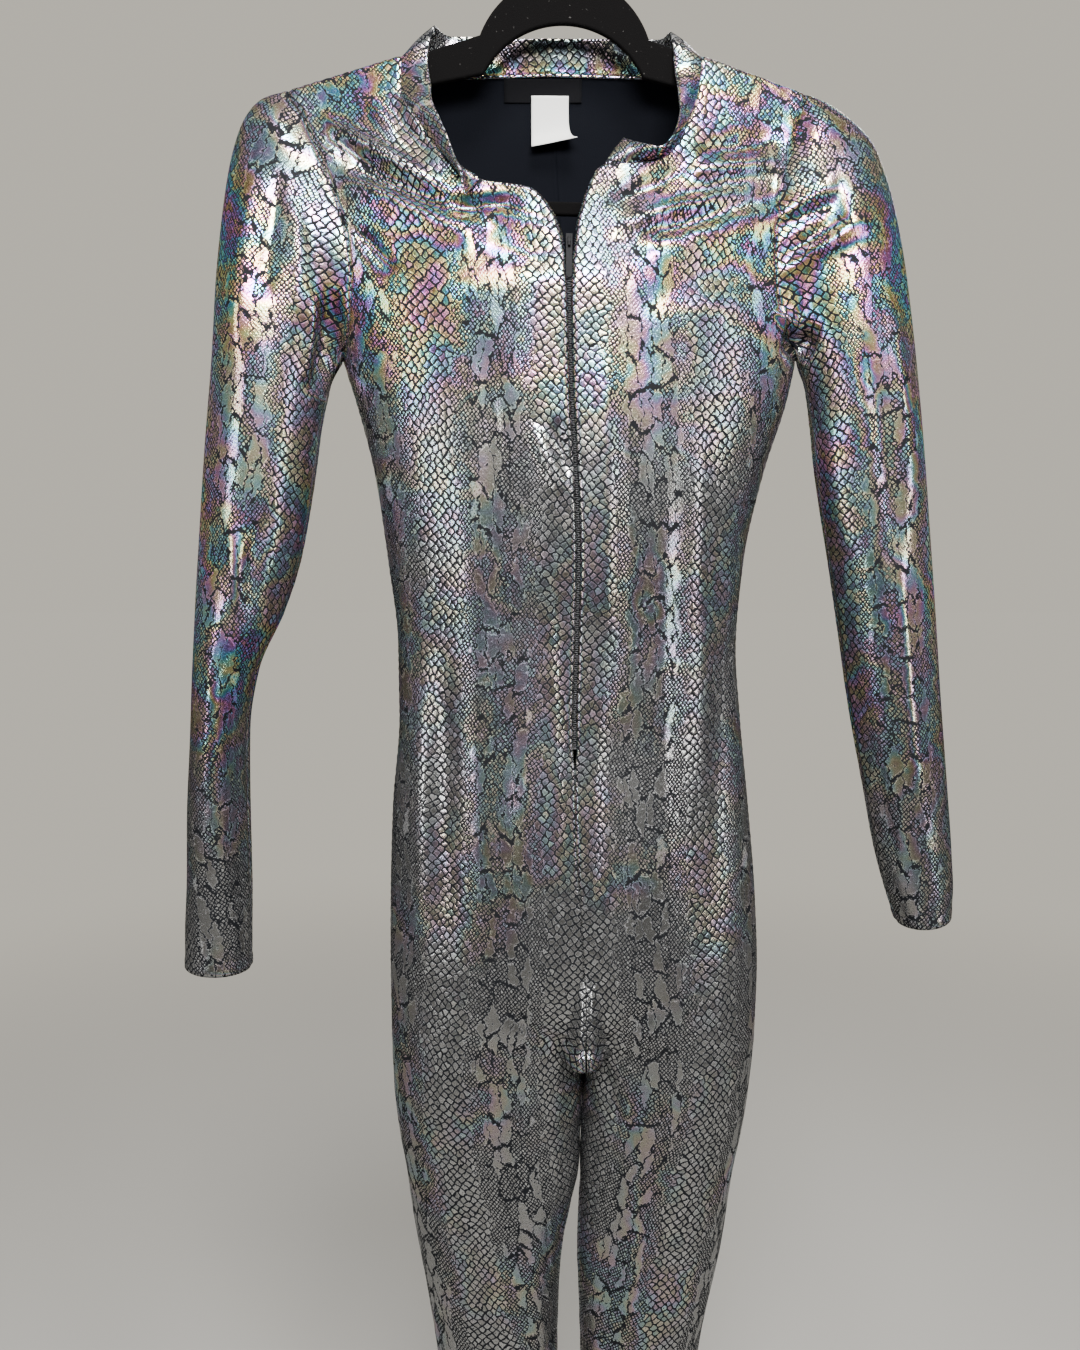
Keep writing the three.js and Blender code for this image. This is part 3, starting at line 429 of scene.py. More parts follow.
def walked(points, axis):
    """Distance gone in the cloth along the lines of a grid of points."""
    steps = np.linalg.norm(np.diff(points, axis=axis), axis=-1)
    return np.cumsum(np.insert(steps, 0, 0, axis=axis), axis)


def yoke_grid(side, face):
    yoke = YOKES[face, side]
    lines = np.arange(len(yoke["armX"]))
    fine = np.linspace(0, lines[-1], lines[-1] * YOKE_CUTS + 1)
    arm_z, neck_z = (from_ridge(yoke[at + "X"], yoke[at + "Z"]) for at in ("arm", "neck"))
    arm_x, arm_z, neck_x, neck_z = (
        column(lines, v, fine)[:, None] for v in (yoke["armX"], arm_z, yoke["neckX"], neck_z))
    from_angle, to_angle = oval_angle(side, arm_x, arm_z), oval_angle(side, neck_x, neck_z)
    here = np.cos(from_angle + (to_angle - from_angle) * across_share(ACROSS))
    share = (here - np.cos(from_angle)) / (np.cos(to_angle) - np.cos(from_angle))
    x, z = arm_x + (neck_x - arm_x) * share, arm_z + (neck_z - arm_z) * share
    centre = column(BODY["z"], BODY["centre"], z)[..., None]
    line_x = centre + (x[..., None] - centre) * np.linspace(0, 1, WALK_POINTS)
    line_z = z[..., None] + 0 * line_x
    line = np.stack([line_x, yoke_depth(side, face, line_x, line_z), line_z], -1)
    points = np.stack([x, yoke_depth(side, face, x, z) * FACES[face], z], -1)
    return points, np.stack([walked(line, 2)[..., -1], -z], -1)


def lower_grid(side, face):
    trunk = np.linspace(ARMPIT_Z, CROTCH_Z, TRUNK_ROWS)[1:]
    z = np.concatenate([trunk, np.linspace(CROTCH_Z, HEM_Z, LEG_ROWS)[1:]])[:, None]
    u = across_share(ACROSS)
    on_leg = z <= CROTCH_Z
    turn = np.radians(np.where(on_leg, 180, column(TURN["z"], TURN["turn"], z)))
    outer, mid = (np.where(on_leg, column(LEGS["z"], LEGS[part], z),
                           column(BODY["z"], BODY[part], z)) for part in (side, face))
    half = column(SLIT["z"], SLIT["half"], z)
    if face == "back":
        half = np.where(z < BACK_SEAM_END, half, SEAM_HALF)
    centre = column(BODY["z"], BODY["centre"], z) + SIDES[side] * half
    inner = np.where(on_leg, column(LEGS["z"], LEGS[side + "In"], z), centre)
    reach = (outer - inner) / (1 - np.cos(turn))
    x = outer - reach + reach * np.cos(turn * u)
    z = z + 0 * x
    depth = (mid / np.sin(turn / 2) - fold_depth(FOLDS[face], x, z)) * np.sin(turn * u)
    points = np.stack([x, depth * FACES[face], z], -1)
    from_side = walked(points, 1)
    hips = np.argmin(np.abs(z[:, 0] - HIPS_Z))
    across = from_side[np.minimum(np.arange(len(z)), hips), -1][:, None] - from_side
    return points, np.stack([across, -z], -1)


# The left pieces are cut from further down the cloth, so their print differs from the right's
PRINT_START = {"right": (0, 0), "left": (0, 310)}

panels = {}
for side, sign in SIDES.items():
    for face in FACES:
        points, spread = (
            np.concatenate(parts) for parts in zip(yoke_grid(side, face), lower_grid(side, face)))
        panels[f"{face}_{side}"] = {
            "points": points,
            "print": spread * (sign, 1) + PRINT_START[side],
            "flip": sign == FACES[face],
        }

# The solids stand 0.3 mm apart at the centre seams, and the sewn cloth meets there
for face in FACES:
    right, left = (panels[f"{face}_{side}"]["points"][:, -1] for side in SIDES)
    sewn = np.linalg.norm(right - left, axis=-1) < SEWN_WITHIN
    right[sewn] = left[sewn] = (right[sewn] + left[sewn]) / 2

# Below the crotch the thighs hang against each other as far as the gap between the legs
GAP_TOP, GAP_FADE, GAP_REACH, GAP_HALF = -935, 22, 9, 0.06
# At the end of the front seam the cloth hangs forward in a narrow lip, with a hollow under it
LIP = table("z middle wide out", """
    -735 15 7 54
    -752 15 8 59
    -772 14.5 10 63
    -792 13.5 13 66
    -803 13 15 68
    -808 13 16 67
    -812 13 16 56""")
LIP_TOP, LIP_FADE, LIP_BEHIND, LIP_ROUND = -735, 18, 30, 6


def smooth_step(value, low, high):
    share = np.clip((value - low) / (high - low), 0, 1)
    return share * share * (3 - 2 * share)


for face in FACES:
    right, left = (panels[f"{face}_{side}"]["points"] for side in SIDES)
    meeting = (right[:, -1:, 0] + left[:, -1:, 0]) / 2
    for points, sign in ((right, -1), (left, 1)):
        x, y, z = np.moveaxis(points, -1, 0).copy()
        touching = smooth_step(z, GAP_TOP, GAP_TOP + GAP_FADE) * (z < CROTCH_Z)
        touching = touching * hump(x - x[:, -1:], GAP_REACH)
        points[..., 0] += (meeting + sign * GAP_HALF - x[:, -1:]) * touching
        middle, wide, out = (column(LIP["z"], LIP[part], z) for part in ("middle", "wide", "out"))
        aside = ((x - middle) / wide) ** 2
        hanging = smooth_step(-z, -LIP_TOP, LIP_FADE - LIP_TOP) * (z > CROTCH_Z - 0.5)
        hanging = hanging * np.exp(-(aside**2)) * smooth_step(-y, -LIP_BEHIND, 0)
        points[..., 1] += np.minimum(0, LIP_ROUND * aside - out - y) * hanging


def unit(vectors):
    return vectors / np.maximum(np.linalg.norm(vectors, axis=-1, keepdims=True), 1e-9)


def shared_normals(grids):
    """Outward normals at every point of the grids, shared along the seams where they meet."""
    sums, keys = {}, []
    for grid in grids:
        points = grid["points"]
        down, along = (np.gradient(points, axis=axis) for axis in (0, 1))
        grid["normals"] = unit(np.cross(down, along)) * (1 if grid["flip"] else -1)
        edge = np.zeros(points.shape[:2], bool)
        edge[0], edge[-1], edge[:, 0], edge[:, -1] = True, True, True, True
        for r, c in zip(*np.nonzero(edge)):
            key = tuple(np.round(points[r, c], 1))
            sums[key] = sums.get(key, 0) + grid["normals"][r, c]
            keys.append((grid, r, c, key))
    for grid, r, c, key in keys:
        grid["normals"][r, c] = unit(sums[key])


def smooth_piece(name, points, faces, materials, spread=None):
    """A piece from points in millimetres, with the place of each in the cloth where it has one."""
    mesh = bpy.data.meshes.new(name)
    mesh.from_pydata((np.reshape(points, (-1, 3)) / 1000).tolist(), [], faces)
    mesh.polygons.foreach_set("use_smooth", np.ones(len(faces), bool))
    for material in materials:
        mesh.materials.append(material)
    if spread is not None:
        loops = np.empty(len(mesh.loops), int)
        mesh.loops.foreach_get("vertex_index", loops)
        places = np.reshape(spread, (-1, 2)) / 1000
        mesh.uv_layers.new(name="Cloth").data.foreach_set("uv", places[loops].ravel())
    return placed(name, mesh)


def cloth_piece(name, grid, wall, materials):
    """A closed wall of cloth, from a grid of points in along its normals."""
    outside = grid["points"]
    rows, cols = outside.shape[:2]
    index = np.arange(rows * cols).reshape(rows, cols)
    corners = (index[:-1, :-1], index[:-1, 1:], index[1:, 1:], index[1:, :-1])
    skin = np.stack(corners, -1).reshape(-1, 4)
    rim = np.concatenate([index[0, ::-1], index[1:, 0], index[-1, 1:], index[-2::-1, -1][:-1]])
    after = np.roll(rim, -1)
    sides = np.stack([rim, after, after + rows * cols, rim + rows * cols], -1)
    faces = np.concatenate([skin, skin[:, ::-1] + rows * cols, sides])
    if grid["flip"]:
        faces = faces[:, ::-1]
    points = np.stack([outside, outside - grid["normals"] * wall])
    spread = np.stack([grid["print"]] * 2)
    piece = smooth_piece(name, points, faces.tolist(), materials, spread)
    inner = np.arange(len(faces)) >= len(skin)
    piece.data.polygons.foreach_set("material_index", inner.astype(int))
    return piece


# The groove of a sewn seam with its small ripples, and a hem turned up and stitched
SEAM_DEEP, SEAM_WIDE, RIPPLE_DEEP, RIPPLE_START, RIPPLE_REACH = 0.8, 1.4, 0.35, 1.5, 5
HEM_THICK, HEM_TURN, HEM_SOFT = 0.5, 9, 1 / 1.1
STITCH_AT, STITCH_DEEP, STITCH_WIDE = 8, 0.55, 0.9
RIPPLE_ACROSS, RIPPLE_DOWN, RIPPLE_SWAY, SWAY_WAVE = 0.62, 0.94, 2, 0.11
# A crease shows where the cloth faces front or back, and widens from its start to its end
CREASE_FACING, CREASE_START, CREASE_GROWS = 1.6, 0.75, 0.5


def creased(grid, from_seam, from_hem):
    """Sets creases, puckered seams and a turned-up hem into a grid of cloth, along its normals."""
    points, normals = grid["points"], grid["normals"]
    x, z = points[..., 0], points[..., 2]
    depth = np.zeros(x.shape)
    for face, sign in FACES.items():
        shown = CREASE_GAIN * np.clip(sign * normals[..., 1] * CREASE_FACING, 0, 1)
        for *line, bow, deep, wide in zip(*CREASES[face].values()):
            share, aside = beside_line(x, z, *line)
            aside = aside - bow * 4 * share * (1 - share)
            wide = wide * (CREASE_START + CREASE_GROWS * np.clip(share, 0, 1))
            fade = np.maximum(0, 1 - np.abs(2 * share - 1) ** 3)
            depth += shown * deep * fade * hump(aside, wide)
    sway = RIPPLE_SWAY * np.sin(z * SWAY_WAVE)
    ripple = np.sin(x * RIPPLE_ACROSS + z * RIPPLE_DOWN + sway)
    ripple = ripple * np.exp(-from_seam / RIPPLE_REACH)
    depth += SEAM_DEEP * hump(from_seam, SEAM_WIDE)
    depth += RIPPLE_DEEP * ripple * (1 - hump(from_seam, RIPPLE_START))
    depth -= HEM_THICK * (1 - np.tanh((from_hem - HEM_TURN) / HEM_SOFT)) / 2
    depth += STITCH_DEEP * hump(from_hem - STITCH_AT, STITCH_WIDE)
    grid["points"] = points - normals * depth[..., None]


def edge_distances(points):
    """Distances in the cloth from the first, last and top edges of a grid, and from the bottom."""
    first, top = walked(points, 1), walked(points, 0)
    return first, first[:, -1:] - first, top, top[-1:] - top


def set_sockets(tree, sockets, values):
    """Gives sockets plain values, or links them to other nodes' outputs."""
    for key, value in values.items():
        if isinstance(value, bpy.types.NodeSocket):
            tree.links.new(value, sockets[key])
        else:
            sockets[key].default_value = value


def add_node(tree, kind, inputs=None, **settings):
    made = tree.nodes.new(kind)
    for name, value in settings.items():
        setattr(made, name, value)
    set_sockets(tree, made.inputs, inputs or {})
    return made


def maths(tree, operation, *values):
    return add_node(tree, "ShaderNodeMath", dict(enumerate(values)), operation=operation).outputs[0]


def step_up(tree, value, low, high):
    """Rises smoothly from 0 to 1 as the value goes from low to high."""
    inputs = {"Value": value, "From Min": low, "From Max": high}
    made = add_node(tree, "ShaderNodeMapRange", inputs, interpolation_type="SMOOTHSTEP")
    return made.outputs["Result"]


def mixed(tree, factor, a, b):
    return add_node(tree, "ShaderNodeMix", {0: factor, 2: a, 3: b}).outputs[0]


def mixed_colour(tree, factor, a, b, way="MIX"):
    inputs = {0: factor, 6: a, 7: b}
    return add_node(tree, "ShaderNodeMix", inputs, data_type="RGBA", blend_type=way).outputs[2]


def noise(tree, vector, scale, detail=2.0, output="Fac"):
    inputs = {"Vector": vector, "Scale": scale, "Detail": detail}
    return add_node(tree, "ShaderNodeTexNoise", inputs).outputs[output]


def bumped(tree, height, strength, distance):
    inputs = {"Height": height, "Strength": strength, "Distance": distance}
    return add_node(tree, "ShaderNodeBump", inputs).outputs["Normal"]


def in_piece(tree):
    """The place in the piece itself, in metres."""
    return add_node(tree, "ShaderNodeTexCoord").outputs["Object"]


def in_cloth(tree):
    """The place in the flat cloth, in metres."""
    return add_node(tree, "ShaderNodeUVMap", uv_map="Cloth").outputs[0]


def new_finish(name):
    """A new material, with its node tree and the sockets of its surface."""
    material = bpy.data.materials.new(name)
    material.use_nodes = True
    return material, material.node_tree, material.node_tree.nodes["Principled BSDF"].inputs


def new_group(name, inputs, outputs):
    tree = bpy.data.node_groups.new(name, "ShaderNodeTree")
    for way, sockets in (("INPUT", inputs), ("OUTPUT", outputs)):
        for socket, kind in sockets.items():
            tree.interface.new_socket(name=socket, in_out=way, socket_type="NodeSocket" + kind)
    return tree, tree.nodes.new("NodeGroupInput").outputs, tree.nodes.new("NodeGroupOutput").inputs


def cells(tree, place, wide, tall, slant, unevenness):
    """A net of scales: distances from their edges and their middles, and a value for each."""
    turned = add_node(tree, "ShaderNodeMapping", {
        "Vector": place, "Rotation": (0, 0, math.radians(slant)), "Scale": (1 / wide, 1 / tall, 1)})
    inputs = {"Vector": turned.outputs[0], "Scale": 1, "Randomness": unevenness}
    edge, middle = (add_node(tree, "ShaderNodeTexVoronoi", inputs, voronoi_dimensions="2D",
                             feature=feature).outputs for feature in ("DISTANCE_TO_EDGE", "F1"))
    value = add_node(tree, "ShaderNodeSeparateColor", {0: middle["Color"]}).outputs[1]
    return edge["Distance"], middle["Distance"], value


def shifted(tree, vector, scale, detail, by):
    """Moves a vector by up to half of an amount each way, after a noise of its own scale."""
    cloud = noise(tree, vector, scale, detail, "Color")
    push = add_node(
        tree, "ShaderNodeVectorMath", {0: cloud, 1: (0.5, 0.5, 0.5)}, operation="SUBTRACT")
    inputs = {0: push.outputs[0], 1: by, 2: vector}
    return add_node(tree, "ShaderNodeVectorMath", inputs, operation="MULTIPLY_ADD").outputs[0]


def printed(tree, gap, black, full, reach, round_off):
    """Foil on a net of scales, from the black lines inwards, with the corners rounded off."""
    inside = step_up(tree, gap, black, full)
    return maths(tree, "MULTIPLY", inside, step_up(tree, reach, *round_off))


# The print's layout, in metres of cloth: bands of large scales, with flames between them, and
# small scales over the rest. The lines between the scales show the black ground. A band's height
# goes from 1 in the middle of the large scales to -1 in the middle of the flames, with a ragged
# edge, and a scale's gap and reach are shares of its width.
BAND_PERIOD, BAND_START, BAND_RAGGED = 0.088, 0.008, 1.5
LARGE_SCALE, LARGE_TALL, LARGE_SLANT = 0.0044, 1.08, 43
SMALL_SCALE, SMALL_TALL, SMALL_SLANT = 0.0020, 1.3, 40
FLAME_WIDE, FLAME_TALL, FLAME_SLANT = 0.0070, 0.024, 3
LARGE_FROM, FLAME_FROM = (0.30, 0.36), (-0.24, -0.34)
SPILL, PLAIN_VALUE = 0.28, 0.25

tree, given, result = new_group(
    "Snakeskin foil print", {"Cloth": "Vector"},
    {"Foil": "Float", "Dome": "Float", "Scale value": "Float"})
slow = shifted(tree, given["Cloth"], 15, 2, (0.016, 0.010, 0))
place = shifted(tree, slow, 260, 2, (0.0022, 0.0022, 0))
across = maths(tree, "ABSOLUTE", add_node(tree, "ShaderNodeSeparateXYZ", {0: slow}).outputs[0])
from_band = maths(tree, "SUBTRACT", across, BAND_START)
turns = maths(tree, "MULTIPLY", from_band, 2 * math.pi / BAND_PERIOD)
ragged = maths(tree, "MULTIPLY_ADD", noise(tree, slow, 75, 3), BAND_RAGGED, -BAND_RAGGED / 2)
band = maths(tree, "ADD", maths(tree, "COSINE", turns), ragged)

large_gap, large_reach, large_value = cells(
    tree, place, LARGE_SCALE, LARGE_SCALE * LARGE_TALL, LARGE_SLANT, 0.40)
small_gap, small_reach, small_value = cells(
    tree, place, SMALL_SCALE, SMALL_SCALE * SMALL_TALL, SMALL_SLANT, 0.3)
spill = maths(tree, "MULTIPLY_ADD", noise(tree, place, 420, 2), SPILL, -SPILL / 2)
large_gap, small_gap = (maths(tree, "ADD", gap, spill) for gap in (large_gap, small_gap))
large_foil = printed(tree, large_gap, 0.12, 0.18, large_reach, (0.66, 0.58))
small_foil = printed(tree, small_gap, 0.17, 0.27, small_reach, (0.66, 0.56))
on_large = step_up(tree, band, *LARGE_FROM)
scales = mixed(tree, on_large, small_foil, large_foil)

torn = shifted(tree, place, 130, 3, (0.0085, 0.0085, 0))
flame_gap, _, flame_value = cells(tree, torn, FLAME_WIDE, FLAME_TALL, FLAME_SLANT, 0.95)
on_flame = step_up(tree, band, *FLAME_FROM)
bare = printed(tree, flame_gap, 0.09, 0.14, flame_value, (0.42, 0.44))
flame_core = mixed(tree, bare, small_foil, 1.0)
flames = maths(tree, "MULTIPLY", step_up(tree, flame_gap, 0.035, 0.075), flame_core)
worn = step_up(tree, noise(tree, given["Cloth"], 1500, 1), 0.34, 0.42)
blotched = step_up(tree, noise(tree, slow, 330, 3), 0.33, 0.39)
whole = maths(tree, "MULTIPLY", worn, blotched)
dome = mixed(
    tree, on_large, step_up(tree, small_gap, 0.02, 0.4), step_up(tree, large_gap, 0.0, 0.4))
value = mixed(tree, on_large, small_value, large_value)
plain = maths(tree, "MULTIPLY", on_flame, bare)
set_sockets(tree, result, {
    "Foil": maths(tree, "MULTIPLY", mixed(tree, on_flame, scales, flames), whole),
    "Dome": mixed(tree, on_flame, dome, maths(tree, "MULTIPLY", dome, 0.4)),
    "Scale value": mixed(tree, plain, value, PLAIN_VALUE)})
snakeskin = tree

# The foil's rainbow, partly its own tint and partly painted light: how strong it is follows the
# height, which paints it strongest where the lamps light the chest as a painted highlight, and
# its hue follows the place and the way the cloth faces, a painted stand-in for the rainbow that
# shifts with the angle of the light
tree, given, result = new_group(
    "Holographic tint and painted highlight", {"Position": "Vector", "Normal": "Vector", "Scale value": "Float"},
    {"Tint": "Color", "Strength": "Float"})
clouds = noise(tree, given["Position"], 11, 3)
turned = {0: given["Normal"], 1: (0.9, 0.25, 1.5)}
facing_for_painted_iridescence = add_node(tree, "ShaderNodeVectorMath", turned, operation="DOT_PRODUCT").outputs["Value"]
streaks = noise(tree, given["Position"], 60, 2)
hue = maths(tree, "MULTIPLY_ADD", clouds, 5.5, maths(tree, "MULTIPLY", facing_for_painted_iridescence, 1.3))
hue = maths(tree, "MULTIPLY_ADD", streaks, 1.3, hue)
hue = maths(tree, "FRACT", maths(tree, "MULTIPLY_ADD", given["Scale value"], 0.3, hue))
HUES = table("at red green blue", """
    0 1 0.30 0.74
    0.15 0.46 0.30 1
    0.3 0.12 0.62 1
    0.46 0.30 1 0.78
    0.6 1 0.97 0.34
    0.78 1 0.58 0.26
    1 1 0.30 0.74""")


def colour_ramp(tree, factor, stops):
    """A colour for each factor from 0 to 1, through a table of places with red, green and blue."""
    made = add_node(tree, "ShaderNodeValToRGB", {0: factor})
    elements = made.color_ramp.elements
    while len(elements) < len(stops["at"]):
        elements.new(0.5)
    for element, at, *colour in zip(elements, *stops.values()):
        element.position = at
        element.color = (*colour, 1)
    return made.outputs["Color"]


# The rainbow is strong on the chest and down to the elbows as painted highlight colour where the
# lamps fall, fades at the neck seam, and comes in faint patches everywhere as the foil's own tint
ARMS_FROM, ARMS_LOWER = (0.165, 0.185), 0.25
PAINTED_HIGHLIGHT_FROM, NECK_FADE, FAINT = (-0.42, -0.27), (-0.098, -0.114), 0.28
height = add_node(tree, "ShaderNodeSeparateXYZ", {0: given["Position"]}).outputs
patchy = step_up(tree, noise(tree, given["Position"], 13, 2), 0.40, 0.60)
on_arms = step_up(tree, maths(tree, "ABSOLUTE", height[0]), *ARMS_FROM)
lifted = maths(tree, "MULTIPLY_ADD", on_arms, ARMS_LOWER, height[2])
painted_highlight_strength = maths(tree, "MULTIPLY", step_up(tree, lifted, *PAINTED_HIGHLIGHT_FROM),
               maths(tree, "MULTIPLY_ADD", patchy, 0.5, 0.45))
painted_highlight_strength = maths(tree, "MULTIPLY", painted_highlight_strength, step_up(tree, height[2], *NECK_FADE))
faint = maths(tree, "MULTIPLY", patchy, FAINT)
set_sockets(tree, result, {
    "Tint": colour_ramp(tree, hue, HUES), "Strength": maths(tree, "MAXIMUM", painted_highlight_strength, faint)})
foil_rainbow_and_painted_highlight = tree

SILVER = (0.66, 0.655, 0.645, 1)
GROUND = (0.006, 0.0065, 0.008, 1)
foil, tree, surface = new_finish("Snakeskin foil on stretch cloth")
skin = add_node(tree, "ShaderNodeGroup", node_tree=snakeskin)
set_sockets(tree, skin.inputs, {"Cloth": in_cloth(tree)})
skin = skin.outputs
shine = add_node(tree, "ShaderNodeGroup", node_tree=foil_rainbow_and_painted_highlight)
set_sockets(tree, shine.inputs, {
    "Position": in_piece(tree), "Scale value": skin["Scale value"],
    "Normal": add_node(tree, "ShaderNodeTexCoord").outputs["Normal"]})
# The silver takes the rainbow, with its painted highlight colour on the chest and arms
tinted = mixed_colour(tree, shine.outputs["Strength"], SILVER, shine.outputs["Tint"])
grey = maths(tree, "MULTIPLY_ADD", skin["Scale value"], 0.4, 0.72)
tinted = mixed_colour(tree, 1.0, tinted, grey, "MULTIPLY")
foil_roughness = maths(tree, "MULTIPLY_ADD", skin["Scale value"], 0.10, 0.18)
set_sockets(tree, surface, {
    "Base Color": mixed_colour(tree, skin["Foil"], GROUND, tinted),
    "Metallic": skin["Foil"],
    "Roughness": mixed(tree, skin["Foil"], 0.7, foil_roughness),
    "Specular IOR Level": 0.12,
    "Normal": bumped(tree, skin["Dome"], 0.22, 0.0005)})

# The wrong side is bare black knit, with a fine grain
wrong_side, tree, surface = new_finish("Wrong side of the cloth")
set_sockets(tree, surface, {
    "Base Color": (0.0016, 0.0021, 0.0042, 1), "Roughness": 0.85, "Specular IOR Level": 0.1,
    "Sheen Weight": 0.025, "Sheen Tint": (0.35, 0.42, 0.62, 1),
    "Normal": bumped(tree, noise(tree, in_cloth(tree), 900, 2), 0.25, 0.0004)})

# The sleeves: one piece each, set into the armhole, with the seam under the arm
SLEEVES = {
    "right": table("outX outZ inX inZ depth back bow", """
    -207 -138 -159 -316 29 0 13
    -219 -150 -162 -321 32 0 9
    -229 -176 -165 -328 34 -1 6
    -236 -210 -168 -339 36 -1 3
    -242 -254 -173 -356 37 -2 1
    -247 -308 -177 -382 37 -3 0
    -254 -368 -183 -416 37 -4 0
    -260 -428 -191 -452 37 -5 0
    -265 -484 -204 -488 38 -6 0
    -268 -532 -224 -530 40 -7 0
    -271 -576 -232 -575 38 -8 0
    -276 -630 -233 -630 34 -9 0
    -279 -684 -233 -684 30 -10 0
    -282 -722 -234 -724 27 -11 0
    -283 -748 -235 -751 26 -11 0"""),
    "left": table("outX outZ inX inZ depth back bow", """
    176 -141 163 -318 29 0 14
    191 -151 165 -324 32 0 10
    206 -166 167 -331 34 -1 6
    219 -195 169 -341 36 -1 3
    230 -238 172 -357 36 -2 1
    240 -296 175 -382 36 -3 0
    249 -360 180 -412 35 -4 0
    257 -428 187 -449 34 -5 0
    264 -489 194 -489 32 -6 0
    270 -546 204 -547 31 -7 0
    277 -606 217 -609 30 -8 0
    283 -660 229 -664 29 -9 0
    285 -690 239 -697 29 -10 0
    284 -708 246 -716 29 -10 0"""),
}
YOKE_ROWS = 10 * YOKE_CUTS + 1
SLEEVE_CUTS, CAP_ROWS = 9, 45


def split_steps(steps, axis):
    """The share of steps of cloth that runs down the sleeve, and the share that runs round it."""
    down = np.sum(steps * axis, -1)
    return down, np.sqrt(np.maximum(np.sum(steps**2, -1) - down**2, 0))


def sleeve_print(points):
    """Where the print lies on a sleeve, round it from its outer fold and down it."""
    rows, fold = np.arange(len(points)), YOKE_ROWS - 1
    below_cap = np.maximum(rows, CAP_ROWS)
    middle = points.mean(1)
    lower = np.minimum(below_cap + SLEEVE_CUTS, rows[-1])
    axis = unit(middle[lower] - middle[below_cap - SLEEVE_CUTS])
    down, around = split_steps(np.diff(points, axis=1), axis[:, None])
    down, around = (np.cumsum(np.insert(steps, 0, 0, axis=1), 1) for steps in (down, around))
    down, around = down - down[:, fold, None], around - around[:, fold, None]
    fold_down, fold_in = split_steps(np.diff(points[:, fold], axis=0), axis[:-1])
    down += np.cumsum(np.insert(fold_down, 0, 0))[:, None]
    fold_in = np.append(fold_in * (rows[:-1] < CAP_ROWS), 0)
    around += np.sign(np.arange(points.shape[1]) - fold) * np.cumsum(fold_in[::-1])[::-1, None]
    return np.stack([around, down], -1)


def sleeve_grid(side):
    front, back = (panels[f"{face}_{side}"]["points"][:YOKE_ROWS, 0] for face in FACES)
    armhole = np.concatenate([front[::-1], back[1:]])
    pit, tip = armhole[0], armhole[YOKE_ROWS - 1]
    chord = tip - pit
    share = (armhole - pit) @ chord / (chord @ chord)
    angle = np.arccos(np.clip(1 - 2 * share, -1, 1))
    angle[YOKE_ROWS:] = 2 * math.pi - angle[YOKE_ROWS:]
    ring = SLEEVES[side]
    outer, inner = (
        np.stack([ring[at + "X"], ring["back"], ring[at + "Z"]], -1) for at in ("out", "in"))
    half = (outer - inner) / 2
    bow = -SIDES[side] * unit(np.stack([half[:, 2], 0 * half[:, 0], -half[:, 0]], -1))
    bow *= ring["bow"][:, None]
    rings = ((outer + inner) / 2)[:, None] - half[:, None] * np.cos(angle)[None, :, None]
    rings = rings + bow[:, None] * (np.sin(angle) ** 2)[None, :, None]
    rings[..., 1] -= ring["depth"][:, None] * np.sin(angle)
    coarse = np.concatenate([armhole[None], rings])
    fine = np.linspace(0, len(coarse) - 1, SLEEVE_CUTS * len(coarse))
    points = column(np.arange(len(coarse)), coarse, fine)
    spread = sleeve_print(points) + PRINT_START[side]
    return {"points": points, "print": spread, "flip": side == "left"}


sleeves = {f"sleeve_{side}": sleeve_grid(side) for side in SIDES}
body_cloth = {**panels, **sleeves}
# Each front is turned in at the zip, with a soft roll beside the edge
NECK_ROWS = 6 * YOKE_CUTS + 1
ROLL_AT, ROLL_OUT, ROLL_WIDE, EDGE_IN, EDGE_WIDE = 2.6, 0.7, 1.8, 1.5, 0.9
NO_SEAM = 60

shared_normals(body_cloth.values())
for name, grid in body_cloth.items():
    first, last, top, bottom = edge_distances(grid["points"])
    roll = 0
    if name.startswith("front"):
        heights = grid["points"][:, -1:, 2]
        zipped = (heights > ZIP_END_Z) & (np.arange(len(top))[:, None] >= NECK_ROWS)
        turned_in = EDGE_IN * np.exp(-last / EDGE_WIDE)
        roll = (zipped * (ROLL_OUT * hump(last - ROLL_AT, ROLL_WIDE) - turned_in))[..., None]
        last = last + NO_SEAM * zipped
    creased(grid, np.minimum(np.minimum(first, last), top), bottom)
    grid["points"] = grid["points"] + grid["normals"] * roll
shared_normals(body_cloth.values())

# Each piece of cloth, set on the garment in place of its parts in the model
for name, grid in body_cloth.items():
    piece = cloth_piece(f"cloth_{name}", grid, CLOTH, [foil, wrong_side])
    kind, side = name.split("_")
    stretches = [f"{name}_{part}" for part in ("yoke", "trunk", "thigh", "calf")]
    if kind == "sleeve":
        stretches = [name]
    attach(piece, "garment")
    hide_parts(*stretches)

# The stand collar: a band of the foil cloth, folded at its rim so that the print is on both
# faces, and sewn round the neck. Its right front falls open and its left front is crumpled in.
COLLAR_RIMS = {
    ("front", "right"): table("x y z", """
    21 1 20
    18 -1 9
    17 -2 1
    20 -8 -3
    18 -13 -9
    9 -17 -12
    -9 -12 -13"""),
    ("front", "left"): table("x y z", """
    -19 1 16
    -18 -1 7
    -17 -2 -4
    -12 -10 -9
    -6 -14 -5
    3 -10 5
    13 6 18"""),
    ("back", "right"): table("x y z", """
    21 1 20
    21 4 23
    20 6 26
    16 6 28
    10 5 28
    4 5 26
    0 5 25"""),
    ("back", "left"): table("x y z", """
    -19 1 16
    -19 4 19
    -17 6 23
    -13 6 26
    -7 5 27
    -2 5 26
    0 5 25"""),
}
COLLAR_WALL, COLLAR_TUCK, COLLAR_BOW, COLLAR_DENTS = 1.6, 1.6, 0.9, 0.5
COLLAR_GROOVE, COLLAR_ROWS, RIM_STEPS, END_ANGLES = 1.05, 14, 6, (0.6, 1.1, 1.45)
DENT_WAVE, DENT_SWAY, DENT_SWAY_WAVE = 0.21, 1.3, 0.07


